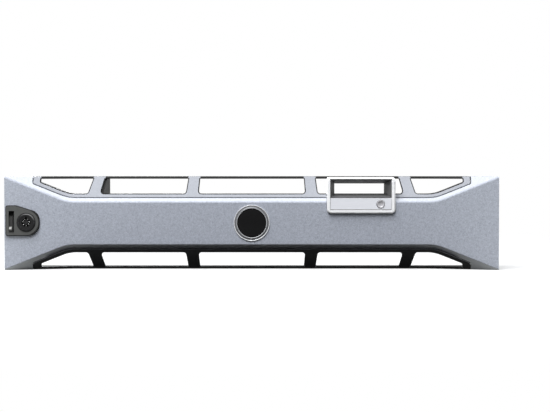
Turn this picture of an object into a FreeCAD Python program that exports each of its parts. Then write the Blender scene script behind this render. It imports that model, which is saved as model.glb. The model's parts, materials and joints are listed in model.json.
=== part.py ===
import FreeCAD, Part
import math
import os
from types import SimpleNamespace

import Sketcher
from FreeCAD import Placement, Rotation, Vector

# Front bezel of a two-unit rack server. Every piece is drawn looking at its front: x runs to the
# right, y up from mid-height, and z towards the viewer from the plane of the face.

doc = FreeCAD.newDocument("server_front_bezel")
sheet = doc.addObject("Spreadsheet::Sheet", "Sizes")

SIZES = {
    "overall_width": (457.0, "across both ends"),
    "overall_height": (86.4, "bottom edge to top edge"),
    "body_depth": (35.0, "face to rear seat"),
    "waist_share": (0.45139, "face height at the waist, as a share of the whole height"),
    "waist_length": (342.0, "between the knees of the outline"),
    "corner_inset": (0.8, "face corner to top edge"),
    "knee_radius": (40.0, "rounding of the knees"),
    "slope_depth": (23.0, "face to the rim, along the depth"),
    "face_round": (1.6, "rounding of the face edge"),
    "shell_wall": (2.4, "wall of the silver shell"),
    "shell_depth": (32.0, "face to the back of the silver ends"),
    "lip_rise": (3.8, "height of the silver lip seen from the front"),
    "seam_gap": (0.3, "gap between neighbouring mouldings"),
    "fit_gap": (0.1, "gap round a fixed insert"),
    "run_gap": (0.05, "radial gap of a turning fit"),
    "vent_share": (0.5635, "share of the run from knee to end that the window openings take"),
    "vent_corner": (3.0, "rounding at the ends of the window openings"),
    "band_rise": (3.7, "height of the black band seen from the front"),
    "end_band": (7.5, "width of the black band at the ends"),
    "frame_wall": (2.2, "wall of the black frame and its rims"),
    "strut_inset": (24.6, "knee to an outer strut"),
    "inner_strut": (55.4, "middle to an inner strut"),
    "strut_width": (12.0, "width of a strut"),
    "strut_lean": (0.023, "share by which struts lean to the middle"),
    "strut_taper": (0.07, "share by which struts narrow towards the rim"),
    "window_round": (2.6, "rounding of the window corners at the band"),
    "edge_bevel": (0.9, "bevel of the front edges of the windows"),
    "flange_depth": (18.0, "face to the back of the curved flanges"),
    "rib_wall": (2.0, "wall of the ribs"),
    "rib_depth": (15.0, "face to the back of the ribs"),
    "web_inset": (6.8, "outer strut to the front of the deep web"),
    "web_drift": (5.4, "sideways run of the deep web"),
    "web_wall": (2.4, "wall of the deep web"),
    "hook_share": (0.311, "place of the right-hand hooks between the frame's end and the shell's end"),
    "hook_wall": (3.0, "wall of a hook"),
    "hook_height": (14.0, "height of a hook"),
    "hook_spread": (40.0, "between the two hooks"),
    "hook_reach": (7.0, "rear seat to the hook end"),
    "hook_foot": (4.0, "sideways reach of a hook"),
    "boss_radius": (3.6, "screw boss"),
    "boss_gap": (1.4, "flange of the lock pad to the screw boss beside it"),
    "screw_share": (0.45, "inner screws, as a share of the way to the end of the windows"),
    "screw_radius": (1.25, "screw shank"),
    "screw_head": (2.8, "screw head radius"),
    "head_height": (1.8, "screw head height"),
    "screw_level": (10.0, "screws below mid-height"),
    "lcd_near": (8.1, "inner strut to the display surround"),
    "lcd_far": (7.7, "display surround to the outer strut"),
    "lcd_low": (9.1, "display surround above mid-height"),
    "lcd_top": (0.6, "display surround below the top edge"),
    "lcd_radius": (4.0, "corner of the display surround"),
    "lcd_proud": (2.5, "display surround in front of the face"),
    "lcd_bevel": (1.1, "bevelled front edge of the surround"),
    "lcd_wall": (2.4, "wall of the display surround"),
    "hood_depth": (14.0, "face to the back of the display hood"),
    "hood_low": (21.0, "underside of the display hood"),
    "tunnel_near": (2.8, "left of the surround to the display funnel"),
    "tunnel_far": (3.4, "display funnel to the right of the surround"),
    "tunnel_low": (23.5, "underside of the display funnel"),
    "tunnel_top": (1.5, "display funnel below the top of the surround"),
    "tunnel_sink": (1.0, "display funnel behind the surround"),
    "tunnel_lip": (0.9, "front lip of the display funnel"),
    "tunnel_wall": (1.6, "wall of the display funnel"),
    "view_near": (4.5, "left of the funnel to the clear opening"),
    "view_far": (6.4, "clear opening to the right of the funnel"),
    "view_low": (3.7, "underside of the funnel to the clear opening"),
    "view_top": (4.4, "clear opening to the top of the funnel"),
    "strip_low": (12.4, "underside of the name strip"),
    "strip_height": (11.0, "height of the name strip"),
    "strip_wall": (0.8, "thickness of the name strip"),
    "strip_sink": (1.2, "depth of its recess"),
    "button_inset": (13.6, "push button to the right of the surround"),
    "button_y": (17.8, "push button above mid-height"),
    "button_radius": (3.6, "push button"),
    "button_dish": (0.9, "hollow of the push button"),
    "button_flange": (4.4, "stop flange radius"),
    "button_stem": (1.6, "stem radius"),
    "button_travel": (1.5, "stroke"),
    "button_gap": (0.4, "gap round the push button"),
    "surround_screw": (1.0, "surround screw shank"),
    "badge_y": (0.4, "badge above mid-height"),
    "badge_radius": (16.6, "badge ring, outside"),
    "badge_bore": (13.5, "badge ring, inside"),
    "badge_sink": (0.8, "depth of the badge seat"),
    "badge_proud": (1.3, "badge ring in front of the face"),
    "badge_dome": (0.8, "rise of the badge disc"),
    "badge_stem": (2.0, "badge stem radius"),
    "lock_inset": (20.3, "left end to the lock axis"),
    "lock_rise": (1.0, "lock axis above mid-height"),
    "pad_left": (19.2, "lock axis to the left of the pad"),
    "pad_right": (12.4, "lock axis to the right of the pad"),
    "pad_low": (12.4, "lock axis to the bottom of the pad"),
    "pad_high": (15.7, "lock axis to the top of the pad"),
    "pad_flat": (9.5, "lock axis to the bend in the top of the pad"),
    "pad_fall": (6.7, "fall of the sloping top of the pad"),
    "pad_arc": (11.0, "large rounding of the pad"),
    "pad_corner": (2.0, "small rounding of the pad"),
    "pad_proud": (2.0, "pad in front of the face"),
    "pad_bevel": (0.7, "bevelled front edge of the pad"),
    "pad_wall": (2.2, "front wall over the latch"),
    "pad_flange": (1.6, "flange round the pad"),
    "barrel_radius": (7.0, "lock barrel"),
    "collar_radius": (8.0, "lock collar"),
    "collar_proud": (1.0, "collar in front of the pad"),
    "collar_bevel": (0.5, "bevelled edge of the collar"),
    "barrel_depth": (18.0, "face to the back of the lock barrel"),
    "bay_depth": (9.0, "room for the cam behind the lock barrel"),
    "plug_radius": (5.9, "lock plug"),
    "plug_sink": (0.4, "plug behind the collar"),
    "key_outer": (4.1, "ring keyway, outside"),
    "key_inner": (2.3, "ring keyway, inside"),
    "key_depth": (7.0, "ring keyway, depth"),
    "key_notch": (1.4, "width of the index notch"),
    "tang_width": (6.0, "square drive of the plug"),
    "cam_gap": (0.5, "barrel to cam"),
    "cam_wall": (2.0, "cam thickness"),
    "cam_width": (11.0, "cam width"),
    "cam_reach": (10.0, "lock axis to the cam tip"),
    "cam_head": (6.5, "lock axis to the top of the cam"),
    "cam_screw_head": (4.2, "cam screw head radius"),
    "cam_screw_shank": (1.5, "cam screw shank radius"),
    "washer_radius": (9.6, "lock washer"),
    "washer_wall": (0.8, "lock washer thickness"),
    "nut_flats": (18.0, "lock nut across flats"),
    "nut_height": (3.5, "lock nut thickness"),
    "slot_left": (16.1, "lock axis to the left of the latch slot"),
    "slot_width": (5.0, "width of the latch slot"),
    "slot_low": (8.8, "lock axis to the bottom of the latch slot"),
    "slot_height": (19.3, "height of the latch slot"),
    "latch_gap": (0.4, "gap round the latch"),
    "latch_travel": (4.8, "stroke of the latch"),
    "latch_overlap": (0.8, "slider behind the pad, beyond the slot"),
    "slider_wall": (2.4, "slider thickness"),
    "finger_lip": (3.2, "height of the finger lip"),
    "finger_sink": (1.4, "hollow above the finger lip"),
    "arm_height": (8.0, "height of the latch arm"),
    "arm_low": (6.0, "lock axis to the underside of the latch arm"),
    "barb_drop": (3.0, "drop of the latch barb"),
    "barb_depth": (3.0, "depth of the latch barb"),
    "spring_wall": (0.5, "spring strip thickness"),
    "spring_room": (7.6, "space above the slider"),
    "spring_width": (3.0, "spring strip width"),
}


class Size:
    """A length kept both as a number and as the sheet expression behind it."""

    def __init__(self, value, text):
        self.value = value
        self.text = text

    def __add__(self, other):
        return Size(self.value + number(other), f"({self.text} + {words(other)})")

    def __radd__(self, other):
        return Size(number(other) + self.value, f"({words(other)} + {self.text})")

    def __sub__(self, other):
        return Size(self.value - number(other), f"({self.text} - {words(other)})")

    def __rsub__(self, other):
        return Size(number(other) - self.value, f"({words(other)} - {self.text})")

    def __mul__(self, other):
        return Size(self.value * number(other), f"({self.text} * {words(other)})")

    def __rmul__(self, other):
        return Size(number(other) * self.value, f"({words(other)} * {self.text})")

    def __truediv__(self, other):
        return Size(self.value / number(other), f"({self.text} / {words(other)})")

    def __neg__(self):
        return Size(-self.value, f"(0 - {self.text})")


def number(size):
    return size.value if isinstance(size, Size) else float(size)


def words(size):
    return size.text if isinstance(size, Size) else f"({size:.6f})"


def root(size):
    return Size(math.sqrt(size.value), f"sqrt({size.text})")


def smaller(one, other):
    return Size(min(one.value, other.value), f"min({one.text}; {other.text})")


def fill_sheet():
    """Writes one row a size and gives each value its own name."""
    found = {}
    for row, (name, (value, note)) in enumerate(SIZES.items(), start=1):
        sheet.set(f"A{row}", name)
        sheet.set(f"B{row}", str(value))
        sheet.set(f"C{row}", note)
        sheet.setAlias(f"B{row}", name)
        found[name] = Size(value, f"Sizes.{name}")
    doc.recompute()
    return SimpleNamespace(**found)


s = fill_sheet()


def bind(thing, path, size):
    """Ties one property of an object to the sheet."""
    thing.setExpression(path, words(size))


def corner_points(corners, index):
    """The corner and where its rounding, if any, meets the two neighbouring lines."""
    here = corners[index]
    point = Vector(number(here[0]), number(here[1]), 0)
    if len(here) < 3:
        return point, point, None
    before = corners[index - 1]
    after = corners[(index + 1) % len(corners)]
    back = (Vector(number(before[0]), number(before[1]), 0) - point).normalize()
    ahead = (Vector(number(after[0]), number(after[1]), 0) - point).normalize()
    half = back.getAngle(ahead) / 2
    reach = number(here[2]) / math.tan(half)
    middle = point + (back + ahead).normalize() * (number(here[2]) / math.sin(half))
    return point + back * reach, point + ahead * reach, middle


def draw_outline(sketch, corners):
    """Draws a closed outline. A corner is (x, y), or (x, y, radius) where it is rounded."""
    count = len(corners)
    joints = [corner_points(corners, index) for index in range(count)]
    lines = []
    for index in range(count):
        start = joints[index][1]
        end = joints[(index + 1) % count][0]
        lines.append(sketch.addGeometry(Part.LineSegment(start, end), False))
    for index, corner in enumerate(corners):
        arriving = lines[index - 1]
        leaving = lines[index]
        first, last, middle = joints[index]
        if middle is None:
            sketch.addConstraint(Sketcher.Constraint("Coincident", arriving, 2, leaving, 1))
            fix_point(sketch, leaving, 1, corner)
            continue
        radius = number(corner[2])
        from_angle = math.atan2(first.y - middle.y, first.x - middle.x)
        to_angle = math.atan2(last.y - middle.y, last.x - middle.x)
        left_turn = (to_angle - from_angle) % (2 * math.pi) < math.pi
        if not left_turn:
            from_angle, to_angle = to_angle, from_angle
        circle = Part.Circle(middle, Vector(0, 0, 1), radius)
        arc = sketch.addGeometry(Part.ArcOfCircle(circle, from_angle, to_angle), False)
        point = sketch.addGeometry(Part.Point(Vector(number(corner[0]), number(corner[1]), 0)), True)
        head, tail = (1, 2) if left_turn else (2, 1)
        fix_point(sketch, point, 1, corner)
        sketch.addConstraint([
            Sketcher.Constraint("Tangent", arriving, 2, arc, head),
            Sketcher.Constraint("Tangent", arc, tail, leaving, 1),
            Sketcher.Constraint("PointOnObject", point, 1, arriving),
            Sketcher.Constraint("PointOnObject", point, 1, leaving),
        ])
        held = sketch.addConstraint(Sketcher.Constraint("Radius", arc, radius))
        bind(sketch, f"Constraints[{held}]", corner[2])


def draw_circle(sketch, x, y, radius):
    circle = Part.Circle(Vector(number(x), number(y), 0), Vector(0, 0, 1), number(radius))
    drawn = sketch.addGeometry(circle, False)
    fix_point(sketch, drawn, 3, (x, y))
    held = sketch.addConstraint(Sketcher.Constraint("Radius", drawn, number(radius)))
    bind(sketch, f"Constraints[{held}]", radius)


def fix_point(sketch, shape, end, corner):
    """Holds one point of a sketch at its two sheet values."""
    for kind, size in (("DistanceX", corner[0]), ("DistanceY", corner[1])):
        held = sketch.addConstraint(Sketcher.Constraint(kind, -1, 1, shape, end, number(size)))
        bind(sketch, f"Constraints[{held}]", size)


def free_sketch(name, level, outlines):
    """A sketch facing the viewer at one level, outside any body."""
    sketch = doc.addObject("Sketcher::SketchObject", name)
    bind(sketch, "Placement.Base.z", level)
    for outline in outlines:
        draw_outline(sketch, outline)
    return sketch


def prism(name, outlines, back, front):
    """Outlines carried from the front level to the back level."""
    solid = doc.addObject("Part::Extrusion", name)
    solid.Base = free_sketch(f"{name}_outline", front, outlines)
    solid.DirMode = "Custom"
    solid.Dir = Vector(0, 0, -1)
    solid.Solid = True
    bind(solid, "LengthFwd", front - back)
    return solid


def box(name, left, right, low, high, back, front):
    block = doc.addObject("Part::Box", name)
    bind(block, "Length", right - left)
    bind(block, "Width", high - low)
    bind(block, "Height", front - back)
    for axis, size in (("x", left), ("y", low), ("z", back)):
        bind(block, f"Placement.Base.{axis}", size)
    return block


def cylinder(name, x, y, back, front, radius):
    rod = doc.addObject("Part::Cylinder", name)
    bind(rod, "Radius", radius)
    bind(rod, "Height", front - back)
    for axis, size in (("x", x), ("y", y), ("z", back)):
        bind(rod, f"Placement.Base.{axis}", size)
    return rod


def fuse(name, shapes):
    joined = doc.addObject("Part::MultiFuse", name)
    joined.Shapes = shapes
    joined.Refine = True
    return joined


def common(name, first, second):
    shared = doc.addObject("Part::MultiCommon", name)
    shared.Shapes = [first, second]
    return shared


def cut(name, base, tools):
    left_over = doc.addObject("Part::Cut", name)
    left_over.Base = base
    left_over.Tool = tools[0] if len(tools) == 1 else fuse(f"{name}_tools", tools)
    return left_over


def round_edges(name, base, radius, wanted, kind="Part::Fillet"):
    """Rounds or bevels those edges of a shape that pass a test."""
    doc.recompute()
    rounded = doc.addObject(kind, name)
    rounded.Base = base
    numbers = [place for place, edge in enumerate(base.Shape.Edges, start=1) if wanted(edge)]
    rounded.Edges = [(place, number(radius), number(radius)) for place in numbers]
    return rounded


def body_sketch(body, name, plane, level, outlines=(), circles=()):
    """A sketch on one of a body's own planes."""
    sketch = body.newObject("Sketcher::SketchObject", name)
    support = [part for part in body.Origin.OriginFeatures if part.Role == plane][0]
    sketch.AttachmentSupport = (support, [""])
    sketch.MapMode = "FlatFace"
    bind(sketch, "AttachmentOffset.Base.z", level)
    for outline in outlines:
        draw_outline(sketch, outline)
    for circle in circles:
        draw_circle(sketch, *circle)
    return sketch


def pad(body, name, back, front, outlines=(), circles=()):
    """Adds material between two levels."""
    grown = body.newObject("PartDesign::Pad", name)
    grown.Profile = body_sketch(body, f"{name}_sketch", "XY_Plane", back, outlines, circles)
    bind(grown, "Length", front - back)
    body.Tip = grown
    return grown


def pocket(body, name, back, front, outlines=(), circles=()):
    """Removes material between two levels."""
    hollow = body.newObject("PartDesign::Pocket", name)
    hollow.Profile = body_sketch(body, f"{name}_sketch", "XY_Plane", front, outlines, circles)
    bind(hollow, "Length", front - back)
    body.Tip = hollow
    return hollow


def turned(name, outline):
    """A body turned about its own z axis from an outline of (radius, level)."""
    body = doc.addObject("PartDesign::Body", name)
    turn = body.newObject("PartDesign::Revolution", f"{name}_turn")
    profile = body_sketch(body, f"{name}_profile", "XZ_Plane", 0, [outline])
    turn.Profile = profile
    turn.ReferenceAxis = (profile, ["V_Axis"])
    turn.Angle = 360
    body.Tip = turn
    return body


def bevel_body(body, name, size, wanted):
    """Bevels those edges of a body that pass a test."""
    doc.recompute()
    base = body.Tip
    numbers = [place for place, edge in enumerate(base.Shape.Edges, start=1) if wanted(edge)]
    bevelled = body.newObject("PartDesign::Chamfer", name)
    bevelled.Base = (base, [f"Edge{place}" for place in numbers])
    bind(bevelled, "Size", size)
    body.Tip = bevelled


def at_level(level):
    """A test for edges that lie flat at one level."""
    def wanted(edge):
        box_of = edge.BoundBox
        return abs(box_of.ZMin - number(level)) < 1e-4 and abs(box_of.ZMax - number(level)) < 1e-4
    return wanted


def rectangle(left, right, low, high, radius=None):
    corners = [(left, low), (right, low), (right, high), (left, high)]
    return [(x, y) if radius is None else (x, y, radius) for x, y in corners]


# The face plane stands half the whole depth in front of the origin, and the bottom edge on it.
front_most = s.pad_proud + s.collar_proud
face_plane = -(s.body_depth + s.hook_reach - front_most) / 2
mid_height = s.overall_height / 2
pieces = []


def place_piece(piece, label, x=0, y=0):
    """Names a finished piece, stands it upright and puts it in its place."""
    piece.Label = label
    piece.Placement = Placement(Vector(0, 0, 0), Rotation(Vector(1, 0, 0), 90))
    bind(piece, "Placement.Base.x", x)
    bind(piece, "Placement.Base.y", face_plane)
    bind(piece, "Placement.Base.z", mid_height + y)
    pieces.append(piece)


# Outline of the face: level at the waist, rising at an angle from each knee to the ends. The sides
# slope backwards and outwards, so the outline grows by a rise that follows the depth.
half_width = s.overall_width / 2
half_height = s.overall_height / 2
half_waist = half_height * s.waist_share
flare_run = (s.overall_width - s.waist_length) / 2
flare_rise = half_height - s.corner_inset - half_waist
flare_length = root(flare_run * flare_run + flare_rise * flare_rise)
knee_drift = (flare_length - flare_run) / flare_rise
slope = (half_height - half_waist) / s.slope_depth
wall_rise = root(slope * slope + 1)
SPARE = 4.0
END_SPARE = 16.0


def flare_y(x, rise):
    """Height of the angled edge at a distance from the middle."""
    edge = half_height - s.corner_inset - (half_width - x) * flare_rise / flare_run
    return edge + rise * flare_length / flare_run


def knee(rise, side, upper):
    x = s.waist_length / 2 - rise * knee_drift
    y = half_waist + rise
    return (x if side > 0 else -x, y if upper > 0 else -y, s.knee_radius - rise)


def bow_tie(rise):
    """The whole outline, carried a little past both ends."""
    end = half_width + END_SPARE - rise * flare_rise / flare_length
    high = flare_y(end, rise)
    return [
        (end, high), knee(rise, 1, 1), knee(rise, -1, 1), (-end, high),
        (-end, -high), knee(rise, -1, -1), knee(rise, 1, -1), (end, -high),
    ]


def vent(rise, end, top, corner):
    """The outlines of the upper and the lower window openings."""
    low = flare_y(end, rise)
    outlines = []
    for side in (1, -1):
        outlines.append([
            (end, side * top), (-end, side * top), (-end, side * low, corner),
            knee(rise, -1, side), knee(rise, 1, side), (end, side * low, corner),
        ])
    return outlines


def envelope(name, wall):
    """The outside of the bezel, or the same surface moved in by a wall."""
    deep = s.slope_depth + SPARE
    sections = []
    for end, depth in (("front", wall), ("rear", deep)):
        rise = slope * depth - wall_rise * wall
        sections.append(free_sketch(f"{name}_{end}", -depth, [bow_tie(rise)]))
    slopes = doc.addObject("Part::Loft", f"{name}_slopes")
    slopes.Sections = sections
    slopes.Solid = True
    slopes.Ruled = True
    wide = half_width + SPARE
    tall = half_height + SPARE
    beyond = s.body_depth + SPARE
    straight = box(f"{name}_straight", -wide, wide, -tall, tall, -beyond, SPARE / 2 - deep)
    whole = fuse(f"{name}_whole", [slopes, straight])
    x = half_width - wall
    y = half_height - wall
    back = -s.body_depth if number(wall) == 0 else -beyond
    limits = box(f"{name}_limits", -x, x, -y, y, back, 0 * s.body_depth)
    return common(name, whole, limits)


# Silver front shell: rounded face, sloping lips, closed ends, hollow behind. The window openings,
# the display, the badge seat and the lock pad are cut from it, and screw bosses stand inside.
no_wall = 0 * s.shell_wall
outside = envelope("outside", no_wall)


def along_face(edge):
    """Picks the long edges of the face and leaves out its two upright ends."""
    return at_level(0)(edge) and edge.BoundBox.XLength > 1


rounded_outside = round_edges("rounded_outside", outside, s.face_round, along_face)
shell_inside = envelope("shell_inside", s.shell_wall)
vent_end = s.waist_length / 2 + flare_run * s.vent_share
outer_strut = s.waist_length / 2 - s.strut_inset
beyond_top = half_height + SPARE
beyond_front = s.lcd_proud + SPARE
beyond_back = -(s.body_depth + SPARE)
plate_front = -((s.lip_rise + s.shell_wall * wall_rise) / slope + s.seam_gap)
plate_back = plate_front - s.frame_wall

shell_vents = prism("shell_vents", vent(s.lip_rise, vent_end, beyond_top, s.vent_corner),
                    beyond_back, beyond_front)
shell_back = box("shell_back", -half_width - SPARE, half_width + SPARE, -beyond_top, beyond_top,
                 beyond_back, -s.shell_depth)
lcd_left = s.inner_strut + s.strut_width / 2 + s.lcd_near
lcd_right = outer_strut - s.strut_width / 2 - s.lcd_far
lcd_high = half_height - s.lcd_top
lcd_notch = rectangle(lcd_left - s.seam_gap, lcd_right + s.seam_gap, s.lcd_low - s.seam_gap,
                      lcd_high + s.seam_gap, s.lcd_radius + s.seam_gap)
lcd_cut = prism("lcd_cut", [lcd_notch], -(s.hood_depth + s.seam_gap), beyond_front)


def pad_outline(x, y, grow):
    """The D-shaped lock pad round a point, grown on every side."""
    left = x - s.pad_left - grow
    right = x + s.pad_right + grow
    low = y - s.pad_low - grow
    high = y + s.pad_high + grow
    return [
        (left, low, s.pad_corner), (right, low, s.pad_arc + grow),
        (right, high - s.pad_fall, s.pad_arc + grow - 1),
        (x - s.pad_flat, high, s.pad_corner * 2), (left, high, s.pad_corner),
    ]


lock_x = s.lock_inset - half_width
lock_y = s.lock_rise
pad_cut = prism("pad_cut", [pad_outline(lock_x, lock_y, s.fit_gap)], -s.shell_wall, beyond_front)
badge_seat = cylinder("badge_seat", 0, s.badge_y, -s.badge_sink, beyond_front,
                      s.badge_radius + s.fit_gap)
badge_hole = cylinder("badge_hole", 0, s.badge_y, beyond_back, beyond_front,
                      s.badge_stem + s.fit_gap)
beside_lock = -lock_x - s.pad_right - s.pad_flange
inside_frame = vent_end - s.seam_gap - s.frame_wall
outer_screw = smaller(beside_lock, inside_frame) - s.boss_radius - s.boss_gap
screw_places = [side * x for x in (vent_end * s.screw_share, outer_screw) for side in (1, -1)]
bosses = []
pilots = []
for place, x in enumerate(screw_places):
    bosses.append(cylinder(f"boss_{place}", x, -s.screw_level, plate_front, -s.shell_wall / 2,
                           s.boss_radius))
    pilots.append(cylinder(f"pilot_{place}", x, -s.screw_level, beyond_back, -s.shell_wall / 2,
                           s.screw_radius + s.run_gap))
open_shell = cut("open_shell", rounded_outside,
                 [shell_inside, shell_vents, shell_back, lcd_cut, pad_cut, badge_seat, badge_hole])
bossed_shell = fuse("bossed_shell", [open_shell] + bosses)
front_shell = cut("front_shell", bossed_shell, pilots)
place_piece(front_shell, "front_shell")

# Window grilles: sloping rails that follow the lips of the shell, turned up at both ends, with struts
# that lean to the middle. The display surround parts the upper one into a left and a right piece.
frame_inside = envelope("frame_inside", s.frame_wall)
frame_skin = cut("frame_skin", outside, [frame_inside])
frame_end = vent_end - s.seam_gap
band_low = s.lip_rise + s.seam_gap
band_high = band_low + s.band_rise
window_low = half_waist + band_high
window_high = half_height - s.frame_wall
band_area = prism("band_area", vent(band_low, frame_end, beyond_top, s.vent_corner),
                  beyond_back, beyond_front)
window_area = prism("window_area",
                    vent(band_high, vent_end - s.end_band, window_high, s.vent_corner / 2),
                    beyond_back, beyond_front)


def strut(x, side):
    """A strut seen from the front, leaning to the middle and narrowing away from the waist."""
    ends = []
    for way, level in ((-1, window_low - s.band_rise / 2), (1, beyond_top)):
        share = (level - window_low) / (window_high - window_low)
        middle = x * (1 - s.strut_lean * share)
        half = s.strut_width / 2 * (1 - s.strut_taper * share)
        ends += [(middle + way * half, side * level), (middle - way * half, side * level)]
    return ends


strut_places = [side * x for x in (outer_strut, s.inner_strut) for side in (1, -1)]
strut_area = prism("strut_area", [strut(x, side) for x in strut_places for side in (1, -1)],
                   beyond_back, beyond_front)
sharp_windows = cut("sharp_windows", window_area, [strut_area])


def at_band(edge):
    """Picks the window corners where a strut meets the band."""
    box_of = edge.BoundBox
    upright = box_of.XLength < 1e-4 and box_of.YLength < 1e-4
    return upright and abs(abs(box_of.YMin) - number(window_low)) < 1e-3


windows = round_edges("windows", sharp_windows, s.window_round, at_band)
band_skin = common("band_skin", frame_skin, band_area)
sharp_skin = cut("sharp_skin", band_skin, [windows])
doc.recompute()
outer_skin = outside.Shape.Shells[0]


def runs_back(face):
    """True for a wall that runs straight back from the front."""
    first_u, last_u, first_v, last_v = face.ParameterRange
    return abs(face.normalAt((first_u + last_u) / 2, (first_v + last_v) / 2).z) < 1e-4


def in_front(edge):
    """Picks the front edges of the bands, the struts and the windows."""
    middle = edge.valueAt((edge.FirstParameter + edge.LastParameter) / 2)
    if abs(middle.y) > number(half_height - s.edge_bevel / 2):
        return False
    if outer_skin.distToShape(Part.Vertex(middle))[0] > 1e-4:
        return False
    return any(runs_back(face) for face in sharp_skin.Shape.ancestorsOfType(edge, Part.Face))


vent_skin = round_edges("vent_skin", sharp_skin, s.edge_bevel, in_front, "Part::Chamfer")
rim_end = vent_end - s.end_band
rim_above = box("rim_above", -rim_end, rim_end, window_high, beyond_top, beyond_back, beyond_front)
rim_below = box("rim_below", -rim_end, rim_end, -beyond_top, -window_high, beyond_back, beyond_front)
rim_strips = fuse("rim_strips", [rim_above, rim_below])
rim_between = cut("rim_between", rim_strips, [strut_area])
rim_behind = box("rim_behind", -half_width, half_width, -beyond_top, beyond_top, beyond_back,
                 -s.slope_depth)
rim_zone = fuse("rim_zone", [rim_between, rim_behind])
grilles = cut("grilles", vent_skin, [rim_zone])
GRILLE_ENDS = {
    "upper_grille_left": (-half_width, lcd_left - s.seam_gap, no_wall, beyond_top),
    "upper_grille_right": (lcd_right + s.seam_gap, half_width, no_wall, beyond_top),
    "lower_grille": (-half_width, half_width, -beyond_top, no_wall),
}
for label, sides in GRILLE_ENDS.items():
    room = box(f"{label}_room", *sides, beyond_back, beyond_front)
    place_piece(common(f"{label}_cut", grilles, room), label)

# Black rear frame: thin rims above and below the windows, a back plate with curved flanges and ribs,
# a deep web beside the upper left strut and two hook arms at the right.
rims = common("rims", vent_skin, rim_zone)
plate_wide = prism("plate_wide", [bow_tie(band_high)], plate_back, plate_front)
plate_wide_limit = box("plate_wide_limit", -frame_end, frame_end, -window_high, window_high,
                       plate_back, plate_front)
plate_narrow = prism("plate_narrow", [bow_tie(s.lip_rise - s.fit_gap)], plate_back, plate_front)
inner_x = half_width - s.shell_wall - s.seam_gap
inner_y = half_height - s.shell_wall - s.seam_gap
plate_narrow_limit = box("plate_narrow_limit", -inner_x, inner_x, -inner_y, inner_y,
                         plate_back, plate_front)
plate_middle = common("plate_middle", plate_wide, plate_wide_limit)
plate_ends = common("plate_ends", plate_narrow, plate_narrow_limit)

flange_area = prism("flange_area", [bow_tie(band_high)], -s.flange_depth, plate_front)
flange_hollow = prism("flange_hollow", [bow_tie(band_high - s.frame_wall)], beyond_back, 0 * slope)
flange_limit = box("flange_limit", -frame_end, frame_end, -window_high, window_high,
                   -s.flange_depth, plate_front)
flange_walls = cut("flange_walls", flange_area, [flange_hollow])
flanges = common("flanges", flange_walls, flange_limit)

end_walls = []
for side in (1, -1):
    near = frame_end - s.frame_wall
    left, right = (near, frame_end) if side > 0 else (-frame_end, -near)
    end_walls.append(box(f"end_wall_{len(end_walls)}", left, right, -half_height, half_height,
                         -s.body_depth, plate_front))

ribs = []
rib_high = window_low - s.frame_wall / 2
for place, x in enumerate([0 * s.inner_strut] + strut_places):
    ribs.append(box(f"rib_{place}", x - s.rib_wall / 2, x + s.rib_wall / 2, -rib_high, rib_high,
                    -s.rib_depth, plate_back + s.frame_wall / 2))

web = doc.addObject("Part::Extrusion", "web")
web_plan = doc.addObject("Sketcher::SketchObject", "web_plan")
web_plan.Placement = Placement(Vector(0, 0, 0), Rotation(Vector(1, 0, 0), 90))
bind(web_plan, "Placement.Base.y", window_low - s.frame_wall)
web_near = s.web_inset - outer_strut
web_far = web_near + s.web_drift
draw_outline(web_plan, [
    (web_near, 0 * slope), (web_near - s.web_wall, 0 * slope),
    (web_far - s.web_wall, -s.body_depth), (web_far, -s.body_depth),
])
web.Base = web_plan
web.DirMode = "Custom"
web.Dir = Vector(0, 1, 0)
web.Solid = True
bind(web, "LengthFwd", half_height - window_low + s.frame_wall)
raw_core = fuse("raw_core", [plate_middle, plate_ends, flanges, web] + end_walls + ribs)
core = common("core", raw_core, frame_inside)

hooks = []
hook_end = -(s.body_depth + s.hook_reach)
hook_x = frame_end + (half_width - frame_end) * s.hook_share
for side in (1, -1):
    middle = side * s.hook_spread / 2
    low = middle - s.hook_height / 2
    high = middle + s.hook_height / 2
    right = hook_x + s.hook_wall
    hooks.append(box(f"hook_arm_{len(hooks)}", hook_x, right, low, high, hook_end, plate_front))
    hooks.append(box(f"hook_foot_{len(hooks)}", right - 1, right + s.hook_foot, low, high, hook_end,
                     hook_end + s.hook_wall))
    hooks.append(box(f"hook_rib_{len(hooks)}", frame_end - 1, hook_x + 1,
                     middle - s.rib_wall / 2, middle + s.rib_wall / 2, -s.shell_depth, plate_front))

rear_zone = box("rear_zone", -half_width, half_width, -half_height, half_height, -s.body_depth, no_wall)
frame_core = common("frame_core", core, rear_zone)
frame_solid = fuse("frame_solid", [rims, frame_core] + hooks)
barrel_hole = cylinder("barrel_hole", lock_x, lock_y, plate_back - SPARE, plate_front + SPARE,
                       s.barrel_radius + s.fit_gap)
arm_left = lock_x - s.slot_left
arm_right = arm_left + s.slot_width
arm_low = lock_y - s.arm_low
arm_hole = box("arm_hole", arm_left - s.latch_gap, arm_right + s.latch_gap,
               arm_low - s.latch_gap - s.barb_drop,
               arm_low + s.arm_height + s.latch_travel + s.latch_gap,
               plate_back - SPARE, plate_front + SPARE)
button_x = lcd_right - s.button_inset
stem_hole = cylinder("stem_hole", button_x, s.button_y, plate_back - SPARE, plate_front + SPARE,
                     s.button_stem + s.button_gap)
surround_places = [lcd_left + s.lcd_wall * 2, lcd_right - s.lcd_wall * 2]
surround_level = s.lcd_low + s.lcd_wall * 2
frame_holes = [barrel_hole, arm_hole, stem_hole]
for place, x in enumerate(screw_places):
    frame_holes.append(cylinder(f"screw_hole_{place}", x, -s.screw_level, plate_back - SPARE,
                                plate_front + SPARE, s.screw_radius + s.fit_gap))
for place, x in enumerate(surround_places):
    frame_holes.append(cylinder(f"surround_hole_{place}", x, surround_level, plate_back - SPARE,
                                plate_front + SPARE, s.surround_screw + s.fit_gap))
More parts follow.
